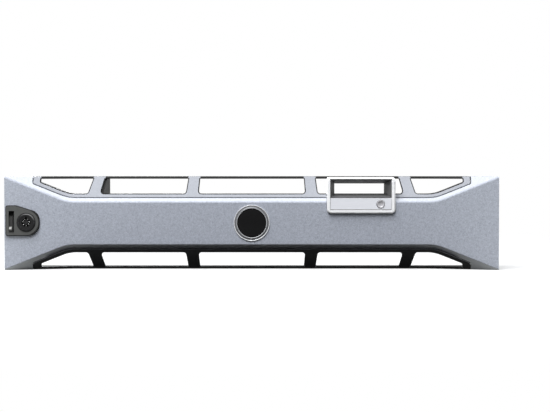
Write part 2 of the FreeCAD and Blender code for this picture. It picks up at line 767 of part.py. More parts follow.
hood_cut = box("hood_cut", lcd_left - s.seam_gap, lcd_right + s.seam_gap, s.hood_low - s.seam_gap,
               lcd_high + s.seam_gap, -(s.hood_depth + s.seam_gap), beyond_front)
bay_half = s.pad_low + s.seam_gap
lock_bay = box("lock_bay", -frame_end - SPARE, -frame_end + s.frame_wall + SPARE,
               lock_y - bay_half, lock_y + bay_half, -(s.barrel_depth + s.bay_depth), plate_back)
rear_frame = cut("rear_frame", frame_solid, frame_holes + [hood_cut, lock_bay])
place_piece(rear_frame, "rear_frame")

# Display surround: a raised silver frame with a bevelled front edge. Its hood runs back round the
# display funnel, and its hollow lower part sits on the back plate with two screw bosses.
surround = doc.addObject("PartDesign::Body", "surround")
lcd_outline = rectangle(lcd_left, lcd_right, s.lcd_low, lcd_high, s.lcd_radius)
pad(surround, "surround_block", plate_front, s.lcd_proud, [lcd_outline])
bevel_body(surround, "surround_edge", s.lcd_bevel, at_level(s.lcd_proud))
hood_outline = rectangle(lcd_left, lcd_right, s.hood_low, lcd_high, s.lcd_radius / 2)
pad(surround, "hood", -s.hood_depth, plate_front + 1, [hood_outline])
tunnel_left = lcd_left + s.tunnel_near
tunnel_right = lcd_right - s.tunnel_far
tunnel_high = lcd_high - s.tunnel_top
pocket(surround, "tunnel_seat", -(s.hood_depth + SPARE), s.lcd_proud + SPARE,
       [rectangle(tunnel_left, tunnel_right, s.tunnel_low, tunnel_high)])
strip_high = s.strip_low + s.strip_height
strip_floor = s.lcd_proud - s.strip_sink
pocket(surround, "strip_seat", strip_floor, s.lcd_proud + SPARE,
       [rectangle(tunnel_left, tunnel_right, s.strip_low, s.tunnel_low + s.fit_gap)])
inner_front = strip_floor - s.lcd_wall
hollow_high = s.button_y + s.button_flange + s.button_gap
pocket(surround, "hollow", plate_front, inner_front,
       [rectangle(lcd_left + s.lcd_wall, lcd_right - s.lcd_wall, s.lcd_low + s.lcd_wall, hollow_high)])
button_hole = s.button_radius + s.button_gap
pocket(surround, "button_hole", inner_front - 1, s.lcd_proud + SPARE,
       circles=[(button_x, s.button_y, button_hole)])
surround_boss = s.surround_screw + s.lcd_wall / 2
pad(surround, "screw_bosses", plate_front, inner_front + 1,
    circles=[(x, surround_level, surround_boss) for x in surround_places])
pocket(surround, "screw_pilots", plate_front - SPARE, inner_front,
       circles=[(x, surround_level, s.surround_screw + s.run_gap) for x in surround_places])
place_piece(surround, "lcd_surround")

# Display funnel: dark walls that narrow from a thin front lip to the clear opening.
funnel_front = s.lcd_proud - s.tunnel_sink
funnel_back = -(s.hood_depth - s.tunnel_lip)


def funnel_block(name, lip, wall):
    """A block that narrows from the front of the funnel to the clear opening."""
    block = doc.addObject("Part::Wedge", name)
    block.Placement = Placement(Vector(0, 0, 0), Rotation(Vector(1, 0, 0), -90))
    bind(block, "Ymin", -funnel_front)
    bind(block, "Ymax", -funnel_back)
    bind(block, "Xmin", tunnel_left + lip)
    bind(block, "Xmax", tunnel_right - lip)
    bind(block, "Zmin", s.tunnel_low + lip)
    bind(block, "Zmax", tunnel_high - lip)
    bind(block, "X2min", tunnel_left + s.view_near - wall)
    bind(block, "X2max", tunnel_right - s.view_far + wall)
    bind(block, "Z2min", s.tunnel_low + s.view_low - wall)
    bind(block, "Z2max", tunnel_high - s.view_top + wall)
    return block


edge = s.fit_gap
funnel_outside = funnel_block("funnel_outside", edge, s.tunnel_wall)
funnel_inside = funnel_block("funnel_inside", edge + s.tunnel_lip, no_wall)
place_piece(cut("funnel", funnel_outside, [funnel_inside]), "lcd_tunnel")

# Name strip: a thin plate with the hole for the push button.
strip = doc.addObject("PartDesign::Body", "strip")
pad(strip, "strip_plate", strip_floor, strip_floor + s.strip_wall,
    [rectangle(tunnel_left + edge, tunnel_right - edge, s.strip_low + edge, strip_high - edge,
               s.strip_wall)],
    [(button_x, s.button_y, button_hole)])
place_piece(strip, "name_strip")

# Push button: dished cap, stop flange behind the strip, and a stem through the back plate.
cap_front = strip_floor + s.strip_wall + s.button_gap
flange_front = inner_front - s.button_gap
flange_back = flange_front - s.button_gap * 3
stem_end = plate_back - s.button_travel
button = turned("button", [
    (0, cap_front - s.button_dish), (s.button_radius * 0.5, cap_front - s.button_dish),
    (s.button_radius * 0.86, cap_front), (s.button_radius, cap_front - s.button_gap),
    (s.button_radius, flange_front), (s.button_flange, flange_front),
    (s.button_flange, flange_back), (s.button_stem, flange_back), (s.button_stem, stem_end),
    (0, stem_end),
])
place_piece(button, "id_button", button_x, s.button_y)

# Leaf spring: a strip folded over, one leg on the back plate and one behind the button's flange.
leaf = doc.addObject("PartDesign::Body", "leaf")
leaf_near = s.button_stem + s.button_gap * 2
leaf_far = s.button_flange + s.button_stem
leaf_top = flange_back - s.button_gap
leaf_fold = leaf.newObject("PartDesign::Pad", "leaf_fold")
leaf_fold.Profile = body_sketch(leaf, "leaf_profile", "XZ_Plane", 0, [[
    (leaf_near, plate_front), (leaf_far, plate_front), (leaf_far, leaf_top), (leaf_near, leaf_top),
    (leaf_near, leaf_top - s.spring_wall), (leaf_far - s.spring_wall, leaf_top - s.spring_wall),
    (leaf_far - s.spring_wall, plate_front + s.spring_wall), (leaf_near, plate_front + s.spring_wall),
]])
leaf_fold.Midplane = True
bind(leaf_fold, "Length", s.spring_width)
leaf.Tip = leaf_fold
place_piece(leaf, "button_spring", button_x, s.button_y)

# Badge: a bevelled ring seated in the face, and a domed disc with a stem inside it.
ring_low = -s.badge_sink
ring_bevel = s.badge_proud
badge_ring = turned("badge_rim", [
    (s.badge_bore, ring_low), (s.badge_radius, ring_low), (s.badge_radius, s.badge_proud - ring_bevel),
    (s.badge_bore + ring_bevel / 2, s.badge_proud), (s.badge_bore, s.badge_proud),
])
place_piece(badge_ring, "badge_ring", 0, s.badge_y)
disc_radius = s.badge_bore - s.fit_gap
disc_edge = s.badge_proud - s.badge_dome / 2
badge_disc = turned("badge_dome", [
    (0, disc_edge + s.badge_dome), (disc_radius * 0.55, disc_edge + s.badge_dome),
    (disc_radius, disc_edge), (disc_radius, ring_low), (s.badge_stem, ring_low), (s.badge_stem, plate_front + s.seam_gap),
    (0, plate_front + s.seam_gap),
])
place_piece(badge_disc, "badge_disc", 0, s.badge_y)

# Lock pad: a raised dark plate with a bevelled edge and a flange behind the face. The latch runs in a
# hollow at its left, open to the front through a slot, and the lock barrel passes through its middle.
housing = doc.addObject("PartDesign::Body", "housing")
pad(housing, "pad_plate", -s.shell_wall, s.pad_proud, [pad_outline(no_wall, no_wall, no_wall)])
bevel_body(housing, "pad_edge", s.pad_bevel, at_level(s.pad_proud))
flange_left = s.shell_wall + s.seam_gap - s.lock_inset
flange_right = s.pad_right + s.pad_flange
pad(housing, "pad_flange", plate_front, -s.shell_wall,
    [rectangle(flange_left, flange_right, -s.pad_low - s.pad_flange, s.pad_high + s.pad_flange,
               s.pad_corner)])
slot_right = -s.slot_left + s.slot_width
slot_high = s.slot_height - s.slot_low
slider_left = -s.slot_left - s.latch_overlap
slider_right = slot_right + s.latch_overlap
finger_low = -s.slot_low + s.latch_gap
finger_high = slot_high - s.latch_gap - s.latch_travel
slider_low = finger_low - s.latch_overlap
slider_high = finger_high + s.latch_overlap
run_front = s.pad_proud - s.pad_wall
pocket(housing, "latch_run", plate_front - SPARE, run_front,
       [rectangle(slider_left - s.latch_gap, slider_right + s.latch_gap, slider_low - s.latch_gap,
                  slider_high + s.spring_room)])
pocket(housing, "latch_slot", run_front - 1, s.pad_proud + SPARE,
       [rectangle(-s.slot_left, slot_right, -s.slot_low, slot_high, s.latch_gap)])
pocket(housing, "barrel_seat", plate_front - SPARE, s.pad_proud + SPARE,
       circles=[(0, 0, s.barrel_radius + s.fit_gap)])
place_piece(housing, "lock_pad", lock_x, lock_y)

# Lock barrel: a fixed sleeve whose bevelled collar sits on the pad.
collar_front = s.pad_proud + s.collar_proud
bore = s.plug_radius + s.run_gap
barrel = turned("barrel", [
    (bore, collar_front), (s.collar_radius - s.collar_bevel, collar_front),
    (s.collar_radius, collar_front - s.collar_bevel),
    (s.collar_radius, s.pad_proud), (s.barrel_radius, s.pad_proud),
    (s.barrel_radius, -s.barrel_depth), (bore, -s.barrel_depth),
])
place_piece(barrel, "lock_barrel", lock_x, lock_y)

# Washer and hexagon nut that clamp the barrel, the pad and the back plate together.
washer_back = plate_back - s.washer_wall
washer = doc.addObject("PartDesign::Body", "washer")
pad(washer, "washer_plate", washer_back, plate_back,
    circles=[(0, 0, s.washer_radius), (0, 0, s.barrel_radius + s.fit_gap)])
place_piece(washer, "lock_washer", lock_x, lock_y)
nut = doc.addObject("PartDesign::Body", "nut")
across = s.nut_flats / 2
side_half = across / math.sqrt(3)
pad(nut, "nut_prism", washer_back - s.nut_height, washer_back,
    [[(across, -side_half), (across, side_half), (no_wall, side_half * 2), (-across, side_half),
      (-across, -side_half), (no_wall, -side_half * 2)]],
    [(0, 0, s.barrel_radius + s.run_gap)])
place_piece(nut, "lock_nut", lock_x, lock_y)

# Lock plug: the turning core, with a ring-shaped keyway, an index notch and a square drive behind.
plug_front = collar_front - s.plug_sink
plug_back = -s.barrel_depth - s.cam_gap / 2
key_floor = plug_front - s.key_depth
plug = turned("plug", [
    (0, plug_front), (s.key_inner, plug_front), (s.key_inner, key_floor), (s.key_outer, key_floor),
    (s.key_outer, plug_front), (s.plug_radius, plug_front), (s.plug_radius, plug_back), (0, plug_back),
])
half_notch = s.key_notch / 2
key_middle = (s.key_outer + s.key_inner) / 2
pocket(plug, "index_notch", key_floor, plug_front + 1,
       [rectangle(-half_notch, half_notch, key_middle, s.plug_radius - s.key_notch / 2)])
cam_front = -s.barrel_depth - s.cam_gap
cam_back = cam_front - s.cam_wall
tang_back = cam_back - s.fit_gap
half_tang = s.tang_width / 2
pad(plug, "tang", tang_back, plug_back, [rectangle(-half_tang, half_tang, -half_tang, half_tang)])
shank_end = cam_front + s.tang_width
pocket(plug, "screw_pilot", tang_back - 1, shank_end, circles=[(0, 0, s.cam_screw_shank + s.run_gap)])
place_piece(plug, "lock_plug", lock_x, lock_y)

# Cam: a flat tongue on the square drive, pointing down when unlocked.
cam = doc.addObject("PartDesign::Body", "cam")
half_cam = s.cam_width / 2
tip_round = s.cam_width / 4
square = half_tang + s.fit_gap
pad(cam, "tongue", cam_back, cam_front,
    [[(-half_cam, -s.cam_reach, tip_round), (half_cam, -s.cam_reach, tip_round),
      (half_cam, s.cam_head, tip_round), (-half_cam, s.cam_head, tip_round)],
     rectangle(-square, square, -square, square)])
place_piece(cam, "lock_cam", lock_x, lock_y)
head_back = tang_back - s.head_height
cam_screw = turned("cam_bolt", [
    (0, shank_end - s.fit_gap), (s.cam_screw_shank, shank_end - s.fit_gap),
    (s.cam_screw_shank, tang_back), (s.cam_screw_head, tang_back),
    (s.cam_screw_head, head_back + s.collar_bevel), (s.cam_screw_head - s.collar_bevel, head_back),
    (0, head_back),
])
place_piece(cam_screw, "cam_screw", lock_x, lock_y)

# Release latch: a finger piece in the slot, a slider behind it, and an arm that runs back to a barb.
latch = doc.addObject("PartDesign::Body", "latch")
slider_front = run_front - s.latch_gap
slider_back = slider_front - s.slider_wall
pad(latch, "slider", slider_back, slider_front,
    [rectangle(slider_left, slider_right, slider_low, slider_high)])
finger_front = s.pad_proud + s.collar_proud * 0.6
finger_left = -s.slot_left + s.latch_gap
finger_right = slot_right - s.latch_gap
pad(latch, "finger", slider_front - 1, finger_front - s.finger_sink,
    [rectangle(finger_left, finger_right, finger_low, finger_high)])
pad(latch, "finger_ledge", slider_front - 1, finger_front,
    [rectangle(finger_left, finger_right, finger_low, finger_low + s.finger_lip)])
arm_high = -s.arm_low + s.arm_height
pad(latch, "arm", hook_end, slider_back + 1,
    [rectangle(finger_left, finger_right, -s.arm_low, arm_high)])
pad(latch, "barb", hook_end, hook_end + s.barb_depth,
    [rectangle(finger_left, finger_right, -s.arm_low - s.barb_drop, -s.arm_low + 1)])
place_piece(latch, "release_latch", lock_x, lock_y)

# Folded spring between the slider and the top of its hollow: level runs joined at alternate ends.
spring_low = slider_high + s.latch_gap
spring_high = slider_high + s.spring_room
FOLDS = 4
pitch = (spring_high - spring_low - s.spring_wall) / FOLDS
strips = []
for run in range(FOLDS + 1):
    low = spring_low + pitch * run
    strips.append(box(f"spring_run_{run}", finger_left, finger_right, low, low + s.spring_wall,
                      slider_front - s.spring_width, slider_front))
for fold in range(FOLDS):
    left = finger_left if fold % 2 else finger_right - s.spring_wall
    low = spring_low + pitch * fold
    strips.append(box(f"spring_fold_{fold}", left, left + s.spring_wall, low, low + pitch,
                      slider_front - s.spring_width, slider_front))
place_piece(fuse("zigzag", strips), "latch_spring", lock_x, lock_y)


def screw_group(label, places, level, shank, head, tip):
    """Identical screws put in from behind the back plate."""
    screws = []
    for place, x in enumerate(places):
        rod = cylinder(f"{label}_shank_{place}", x, level, plate_back - s.head_height / 2, tip, shank)
        cap = cylinder(f"{label}_head_{place}", x, level, plate_back - s.head_height, plate_back, head)
        screws.append(fuse(f"{label}_{place}", [rod, cap]))
    group = doc.addObject("Part::Compound", label)
    group.Links = screws
    place_piece(group, label)


# Screws that hold the shell and the display surround to the back plate.
screw_group("frame_screws", screw_places, -s.screw_level, s.screw_radius, s.screw_head,
            -s.shell_wall / 2 - s.seam_gap)
screw_group("surround_screws", surround_places, surround_level, s.surround_screw,
            s.surround_screw * 2, inner_front - s.seam_gap)

doc.recompute()
for thing in doc.Objects:
    if "Invalid" in thing.State or "Error" in thing.State:
        raise RuntimeError(f"{thing.Name} could not be built: {thing.State}")
os.makedirs("parts", exist_ok=True)
for piece in pieces:
    if piece.Shape.isNull() or not piece.Shape.isValid():
        raise RuntimeError(f"{piece.Label} has no valid shape")
    piece.Shape.exportStep(f"parts/{piece.Label}.step")
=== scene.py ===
import json
import math

import bmesh
import bpy
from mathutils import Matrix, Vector


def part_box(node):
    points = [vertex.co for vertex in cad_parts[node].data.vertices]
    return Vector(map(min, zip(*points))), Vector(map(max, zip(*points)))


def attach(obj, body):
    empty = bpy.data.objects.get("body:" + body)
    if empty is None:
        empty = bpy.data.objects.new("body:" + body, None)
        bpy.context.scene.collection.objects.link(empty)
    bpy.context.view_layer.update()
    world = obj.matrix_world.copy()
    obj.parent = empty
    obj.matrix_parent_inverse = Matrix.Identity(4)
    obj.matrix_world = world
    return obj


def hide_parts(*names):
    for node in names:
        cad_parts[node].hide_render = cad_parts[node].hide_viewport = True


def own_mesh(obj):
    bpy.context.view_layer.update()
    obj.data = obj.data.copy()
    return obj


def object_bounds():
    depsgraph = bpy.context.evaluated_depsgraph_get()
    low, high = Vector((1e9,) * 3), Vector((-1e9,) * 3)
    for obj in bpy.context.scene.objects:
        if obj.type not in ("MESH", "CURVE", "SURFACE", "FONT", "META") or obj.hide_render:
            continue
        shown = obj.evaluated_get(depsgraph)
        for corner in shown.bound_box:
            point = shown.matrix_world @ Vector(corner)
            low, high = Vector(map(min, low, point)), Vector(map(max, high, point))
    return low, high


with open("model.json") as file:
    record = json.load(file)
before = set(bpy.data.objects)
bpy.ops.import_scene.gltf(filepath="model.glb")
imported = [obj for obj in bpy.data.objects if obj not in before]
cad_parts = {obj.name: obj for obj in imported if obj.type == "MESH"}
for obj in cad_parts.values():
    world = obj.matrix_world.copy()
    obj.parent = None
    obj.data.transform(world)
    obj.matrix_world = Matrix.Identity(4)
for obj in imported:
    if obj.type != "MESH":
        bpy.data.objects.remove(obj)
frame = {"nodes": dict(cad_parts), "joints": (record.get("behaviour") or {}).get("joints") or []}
cad_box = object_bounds()
nodes = frame["nodes"]


# Rear frame. One black moulding in satin plastic with a fine eroded grain: thin rims in front, a back
# plate with flanges, ribs and hooks behind. It carries everything else. The pins that pushed it out of
# its mould left low round marks on the plate.
RIGHT = 0
BACK = 1
UP = 2
MIX_SHARE = 0
MIX_UNDER = 6
MIX_OVER = 7
MIX_COLOUR = 2


class Wire:
    """One output in a node tree. Sums of wires and numbers add the nodes that work them out."""

    def __init__(self, tree, socket=None):
        self.tree = tree
        self.socket = socket

    def add(self, kind, settings=None, inputs=None, output=0):
        """Adds a node with its settings, then feeds its inputs, and gives one of its outputs."""
        node = self.tree.nodes.new(kind)
        for name, value in (settings or {}).items():
            setattr(node, name, value)
        self.feed(node, inputs or {})
        return Wire(self.tree, node.outputs[output] if node.outputs else None)

    def feed(self, node, inputs):
        """Links or sets inputs of a node."""
        for name, value in inputs.items():
            if isinstance(value, Wire):
                self.tree.links.new(value.socket, node.inputs[name])
            else:
                node.inputs[name].default_value = value

    def beside(self, name):
        """Another output of the same node."""
        return Wire(self.tree, self.socket.node.outputs[name])

    def reckon(self, operation, *values):
        """A sum of one, two or three values."""
        return self.add("ShaderNodeMath", {"operation": operation}, dict(enumerate(values)))

    def __add__(self, other):
        return self.reckon("ADD", self, other)

    def __sub__(self, other):
        return self.reckon("SUBTRACT", self, other)

    def __rsub__(self, other):
        return self.reckon("SUBTRACT", other, self)

    def __mul__(self, other):
        return self.reckon("MULTIPLY", self, other)

    def __neg__(self):
        return self.reckon("MULTIPLY", self, -1.0)

    def __abs__(self):
        return self.reckon("ABSOLUTE", self)

    __radd__ = __add__
    __rmul__ = __mul__

    def most(self, other):
        """The larger of two values."""
        return self.reckon("MAXIMUM", self, other)

    def step(self, low, high):
        """Goes smoothly from 0 at low to 1 at high."""
        return self.add("ShaderNodeMapRange", {"interpolation_type": "SMOOTHSTEP"},
                        {"Value": self, "From Min": low, "From Max": high})

    def fade(self, start, end):
        """Goes smoothly from 0 to 1 between two lengths in millimetres."""
        return self.step(start * MM, end * MM)

    def mix(self, under, over):
        """The colour under where this is 0, and the colour over where it is 1."""
        return self.add("ShaderNodeMix", {"data_type": "RGBA"},
                        {MIX_SHARE: self, MIX_UNDER: under, MIX_OVER: over}, MIX_COLOUR)

    def noise(self, scale, detail=2.0, roughness=0.5):
        """Even grain on this place, about 1 / scale across."""
        return self.add("ShaderNodeTexNoise", None,
                        {"Vector": self, "Scale": scale, "Detail": detail, "Roughness": roughness})

    def cells(self, scale):
        """A shade for each of many small flakes on this place."""
        flakes = self.add("ShaderNodeTexVoronoi", None, {"Vector": self, "Scale": scale}, "Color")
        return flakes.axis(0)

    def drawn(self, stretch):
        """This place drawn out along some directions, for brushing and scratches."""
        return self.add("ShaderNodeMapping", None, {"Vector": self, "Scale": stretch})

    def axis(self, which):
        """One of the three numbers of a place or a direction."""
        return self.add("ShaderNodeSeparateXYZ", None, {"Vector": self}, which)

    def bump(self, height, depth):
        """A surface direction raised by height times depth in metres."""
        return self.add("ShaderNodeBump", None, {"Height": height, "Strength": 1.0, "Distance": depth})


def begin_finish(name):
    """A new material, and the place of each point in the piece's own coordinates."""
    material = bpy.data.materials.new(name)
    material.use_nodes = True
    place = Wire(material.node_tree).add("ShaderNodeTexCoord", output="Object")
    return material, place


def end_finish(material, inputs):
    """Feeds a material's surface."""
    surface = material.node_tree.nodes["Principled BSDF"]
    Wire(material.node_tree).feed(surface, inputs)


def dress(node_name, material):
    """Gives a solid its finish."""
    mesh = nodes[node_name].data
    mesh.materials.clear()
    mesh.materials.append(material)


FRONT_TONES = ((0.009, 0.009, 0.0085, 1), (0.020, 0.020, 0.019, 1))
REAR_TONES = ((0.034, 0.034, 0.0335, 1), (0.056, 0.056, 0.055, 1))
HANDLED_BLACK = (0.11, 0.11, 0.108, 1)
DUST = (0.12, 0.12, 0.115, 1)
frame_black, place = begin_finish("frame_black")
facing = place.beside("Normal")
grain = place.noise(2600.0)
mould_flow = place.noise(38.0, 3.0, 0.6)
handling = place.drawn((0.15, 1.0, 1.0)).noise(900.0, 4.0, 0.6).step(0.66, 0.74)
upper = facing.axis(UP).step(0.55, 0.95)
dust = upper * place.noise(210.0, 4.0, 0.65).step(0.5, 0.75)
behind = facing.axis(BACK).step(0.2, 0.6)
front_body = mould_flow.mix(*FRONT_TONES)
rear_body = mould_flow.mix(*REAR_TONES)
handled_body = (handling * 0.25).mix(behind.mix(front_body, rear_body), HANDLED_BLACK)
end_finish(frame_black, {
    "Base Color": (dust * 0.10).mix(handled_body, DUST),
    "Roughness": 0.32 + mould_flow * 0.08 + grain * 0.08 + upper * 0.42,
    "Specular IOR Level": 0.08,
    "Normal": place.bump(grain + mould_flow * 0.3, 0.00004),
})
dress("rear_frame", frame_black)

MM = 0.001
FACE_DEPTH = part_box("front_shell")[0].y / MM
MID_HEIGHT = (cad_box[0][UP] + cad_box[1][UP]) / 2 / MM


def spot(x, y, z):
    """A place in millimetres as the front is seen: right, up from mid-height, and out of the face."""
    return Vector((x, FACE_DEPTH - z, MID_HEIGHT + y)) * MM


def reach_of(node_name):
    """How far a solid goes in those three directions, each from its lowest to its highest place."""
    low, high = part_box(node_name)
    return {
        "right": (low.x / MM, high.x / MM),
        "up": (low.z / MM - MID_HEIGHT, high.z / MM - MID_HEIGHT),
        "out": (FACE_DEPTH - high.y / MM, FACE_DEPTH - low.y / MM),
    }


washer_front = reach_of("lock_washer")["out"][1]
PLATE_BACK = washer_front


def set_out(name, data):
    """A new object in the scene."""
    piece = bpy.data.objects.new(name, data)
    bpy.context.scene.collection.objects.link(piece)
    return piece


def begin_tree(name, sizes):
    """A new node tree for like pieces at given places, and the wires of its named sizes."""
    tree = bpy.data.node_groups.new(name, "GeometryNodeTree")
    tree.interface.new_socket("Places", in_out="INPUT", socket_type="NodeSocketGeometry")
    for size in sizes:
        tree.interface.new_socket(size, in_out="INPUT", socket_type="NodeSocketFloat")
    tree.interface.new_socket("Finish", in_out="INPUT", socket_type="NodeSocketMaterial")
    tree.interface.new_socket("Pieces", in_out="OUTPUT", socket_type="NodeSocketGeometry")
    entry = tree.nodes.new("NodeGroupInput")
    return tree, {socket.name: Wire(tree, socket) for socket in entry.outputs if socket.name}


def end_tree(tree, wires, one, turn):
    """Sets one piece, turned, at every place, and gives all of them their finish."""
    placed = one.add("GeometryNodeInstanceOnPoints", None,
                     {"Points": wires["Places"], "Instance": one, "Rotation": turn})
    whole = placed.add("GeometryNodeRealizeInstances", None, {"Geometry": placed})
    finished = whole.add("GeometryNodeSetMaterial", None, {"Geometry": whole, "Material": wires["Finish"]})
    finished.add("NodeGroupOutput", None, {"Pieces": finished})


SOFT_ANGLE = math.radians(38.0)


def soften(mesh):
    """Shades a mesh as smooth but for its sharp edges."""
    mesh.shade_smooth()
    mesh.set_sharp_from_angle(angle=SOFT_ANGLE)


def grow(name, tree, places, sizes, finish):
    """Makes the tree's pieces at the places, with sizes in millimetres, as one plain mesh."""
    seeds = bpy.data.meshes.new(name + "_places")
    seeds.from_pydata(places, [], [])
    piece = set_out(name, seeds)
    maker = piece.modifiers.new("maker", "NODES")
    maker.node_group = tree
    for socket in tree.interface.items_tree:
        if socket.name in sizes:
            maker[socket.identifier] = sizes[socket.name] * MM
        elif socket.name == "Finish":
            maker[socket.identifier] = finish
    ready = piece.evaluated_get(bpy.context.evaluated_depsgraph_get())
    mesh = bpy.data.meshes.new_from_object(ready)
    piece.modifiers.remove(maker)
    piece.data = mesh
    soften(mesh)
    return piece


TO_REAR = (math.radians(-90.0), 0.0, 0.0)
MARK_SIDES = 40
MARK_TAPER = 0.9
MARK_SINK = 0.05
MARK_PLACES = (
    (-170.0, 12.5), (-118.0, 12.5), (-100.0, 0.0), (-28.0, 12.5), (-28.0, -12.5), (28.0, 12.5),
    (28.0, -12.5), (100.0, 0.0), (118.0, -12.5), (-118.0, -12.5), (170.0, 12.5), (170.0, -12.5))
mark_tree, wires = begin_tree("ejector_mark", ["Radius", "Height"])
mark = wires["Radius"].add("GeometryNodeMeshCone", None, {
    "Vertices": MARK_SIDES, "Radius Bottom": wires["Radius"],
    "Radius Top": wires["Radius"] * MARK_TAPER, "Depth": wires["Height"]})
end_tree(mark_tree, wires, mark, TO_REAR)
marks = grow("ejector_marks", mark_tree, [spot(x, y, PLATE_BACK + MARK_SINK) for x, y in MARK_PLACES],
             {"Radius": 2.6, "Height": 0.3}, frame_black)
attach(marks, "bezel")


# Grilles. Moulded rails with leaning struts above and below, sprayed from the front in a darker silver
# than the shell. The walls and bevels of the windows take the bare dark colour, partly real bare moulding
# and partly painted shade that draws dark lines round the paint, and faces turned down are painted dark
# as painted shade.
GRILLE_TONES = ((0.230, 0.238, 0.260, 1), (0.372, 0.384, 0.418, 1))
GRILLE_BARE_AND_SHADE = (0.016, 0.016, 0.0155, 1)
grille_paint, place = begin_finish("grille_paint")
facing = place.beside("Normal")
fleck = place.cells(3400.0)
cloud = place.noise(380.0, 3.0, 0.6)
drift = place.noise(22.0, 3.0)
# Painted shade: faces that do not face the front take the bare dark colour, drawing dark lines round the
# paint.
sprayed_within_shade_lines = (-facing.axis(BACK)).step(0.54, 0.64)
chips = place.noise(240.0, 5.0, 0.7).step(0.70, 0.76)
# Painted shade: faces turned down are darkened almost to the bare colour.
painted_shade_below = (-facing.axis(UP)).step(0.35, 0.6) * 0.93
tone = fleck * 0.35 + cloud * 0.4 + drift * 0.25
paint = tone.mix(*GRILLE_TONES)
paint_after_chips_and_shade = sprayed_within_shade_lines * (1 - chips * 0.5) * (1 - painted_shade_below)
end_finish(grille_paint, {
    "Base Color": paint_after_chips_and_shade.mix(GRILLE_BARE_AND_SHADE, paint),
    "Roughness": 0.46 + fleck * 0.08 + cloud * 0.08,
    "Specular IOR Level": 0.05,
    "Normal": place.bump(fleck * 0.5 + cloud, 0.00002),
})
for grille in ("upper_grille_left", "upper_grille_right", "lower_grille"):
    dress(grille, grille_paint)


# Front shell. A thin moulded cover sprayed with fine metallic silver paint; the bare dark moulding shows
# inside. Its bow-tie face turns into sloping lips above and below. The upper lips are painted lighter as
# painted light. Faces turned down are painted darker towards the bare colour as painted shade, but near
# the ends and just below the face's edge they are painted lighter as painted light. A painted highlight
# runs along the face's edge, and some flakes carry painted glints.
FACE_WAIST = 19.5
FACE_CORNER = 42.4
HALF_WIDTH = cad_box[1][RIGHT] / MM
FLARE = 0.3983
WAIST_TURN = 4.0
END_START = (186.0, 194.0)
EDGE_HIGHLIGHT_BAND = (-0.6, 0.8)
LIP_START = (0.4, 1.8)
LIT_BAND_END = (1.2, 3.4)
SHADE_BELOW_START = (1.4, 4.6)
SILVER_TONES = ((0.268, 0.284, 0.330, 1), (0.490, 0.517, 0.586, 1))
LIT_SILVER = (0.60, 0.615, 0.645, 1)
HIGHLIGHT_SILVER = (0.66, 0.68, 0.72, 1)
SHELL_BARE_AND_SHADE = (0.030, 0.030, 0.031, 1)
silver_paint, place = begin_finish("silver_paint")
facing = place.beside("Normal")
aside = place.axis(RIGHT)
across = abs(aside)
above_middle = place.axis(UP) - MID_HEIGHT * MM
upright = abs(above_middle)
flare_line = across * FLARE + (FACE_CORNER - HALF_WIDTH * FLARE) * MM
face_edge = flare_line.reckon("SMOOTH_MAX", flare_line, FACE_WAIST * MM, WAIST_TURN * MM)
past_edge = upright - face_edge
flake = place.cells(3400.0)
mottle = place.noise(980.0, 2.0, 0.55).step(0.34, 0.66)
# Painted glints: a few flakes are lightened towards a bright silver.
flake_glint = place.cells(2300.0).step(0.93, 0.99)
cloud = place.noise(420.0, 3.0, 0.6)
drift = place.noise(16.0, 2.0)
scuffs = place.drawn((0.12, 1.0, 1.0)).noise(700.0, 5.0, 0.65).step(0.69, 0.74)
# Painted highlight along the face's edge, broken up by noise.
edge_highlight = past_edge.fade(*EDGE_HIGHLIGHT_BAND) * place.noise(160.0, 5.0, 0.7).step(0.58, 0.7)
tone = flake * 0.22 + mottle * 0.36 + cloud.step(0.28, 0.72) * 0.30 + drift * 0.12
paint = tone.mix(*SILVER_TONES)
turned_up = facing.axis(UP)
turned_down = (-turned_up).step(0.35, 0.6)
near_ends = across.fade(*END_START)
upper_lip = turned_up.step(0.4, 0.65) * (1 - turned_up.step(0.85, 0.95))
on_lip = past_edge.fade(*LIP_START)
near_face = 1 - past_edge.fade(*LIT_BAND_END)
# Painted light: upper lips, and faces turned down near the ends or just below the edge, take a lighter
# silver.
painted_light_share = (upper_lip * on_lip * 0.55).most(turned_down * near_ends.most(near_face) * 0.85)
lit_paint = painted_light_share.mix(paint, LIT_SILVER)
highlighted_paint = (flake_glint * 0.35 + edge_highlight * 0.5).mix(lit_paint, HIGHLIGHT_SILVER)
# Painted shade: faces turned down darken towards the bare colour away from the ends.
painted_shade_below = turned_down * (1 - near_ends) * past_edge.fade(*SHADE_BELOW_START) * 0.94
to_middle = -(facing.axis(RIGHT) * aside.reckon("SIGN", aside))
to_mid_height = -(turned_up * above_middle.reckon("SIGN", above_middle))
inside = to_middle.most(to_mid_height).most(facing.axis(BACK)).step(0.25, 0.55)
# Real bare moulding inside, together with the painted shade on faces turned down.
bare_and_painted_shade = inside.most(painted_shade_below)
end_finish(silver_paint, {
    "Base Color": bare_and_painted_shade.mix(highlighted_paint, SHELL_BARE_AND_SHADE),
    "Roughness": 0.42 + flake * 0.10 + cloud * 0.08 - scuffs * 0.08,
    "Specular IOR Level": 0.06,
    "Normal": place.bump(flake * 0.5 + cloud + scuffs * 0.6, 0.00002),
})
dress("front_shell", silver_paint)


# Shell screws. Four zinc-plated cross-head screws, driven from behind the back plate into the shell's
# bosses.
ZINC_TONES = ((0.30, 0.30, 0.30, 1), (0.44, 0.44, 0.43, 1))
DULL_ZINC = (0.19, 0.185, 0.175, 1)
zinc, place = begin_finish("zinc")
crystals = place.noise(700.0, 4.0, 0.6)
tarnish = place.noise(150.0, 4.0, 0.65).step(0.55, 0.75)
bright_zinc = crystals.mix(*ZINC_TONES)
end_finish(zinc, {
    "Base Color": (tarnish * 0.5).mix(bright_zinc, DULL_ZINC),
    "Metallic": 0.9,
    "Roughness": 0.40 + crystals * 0.2 + tarnish * 0.15,
    "Normal": place.bump(crystals, 0.00001),
})

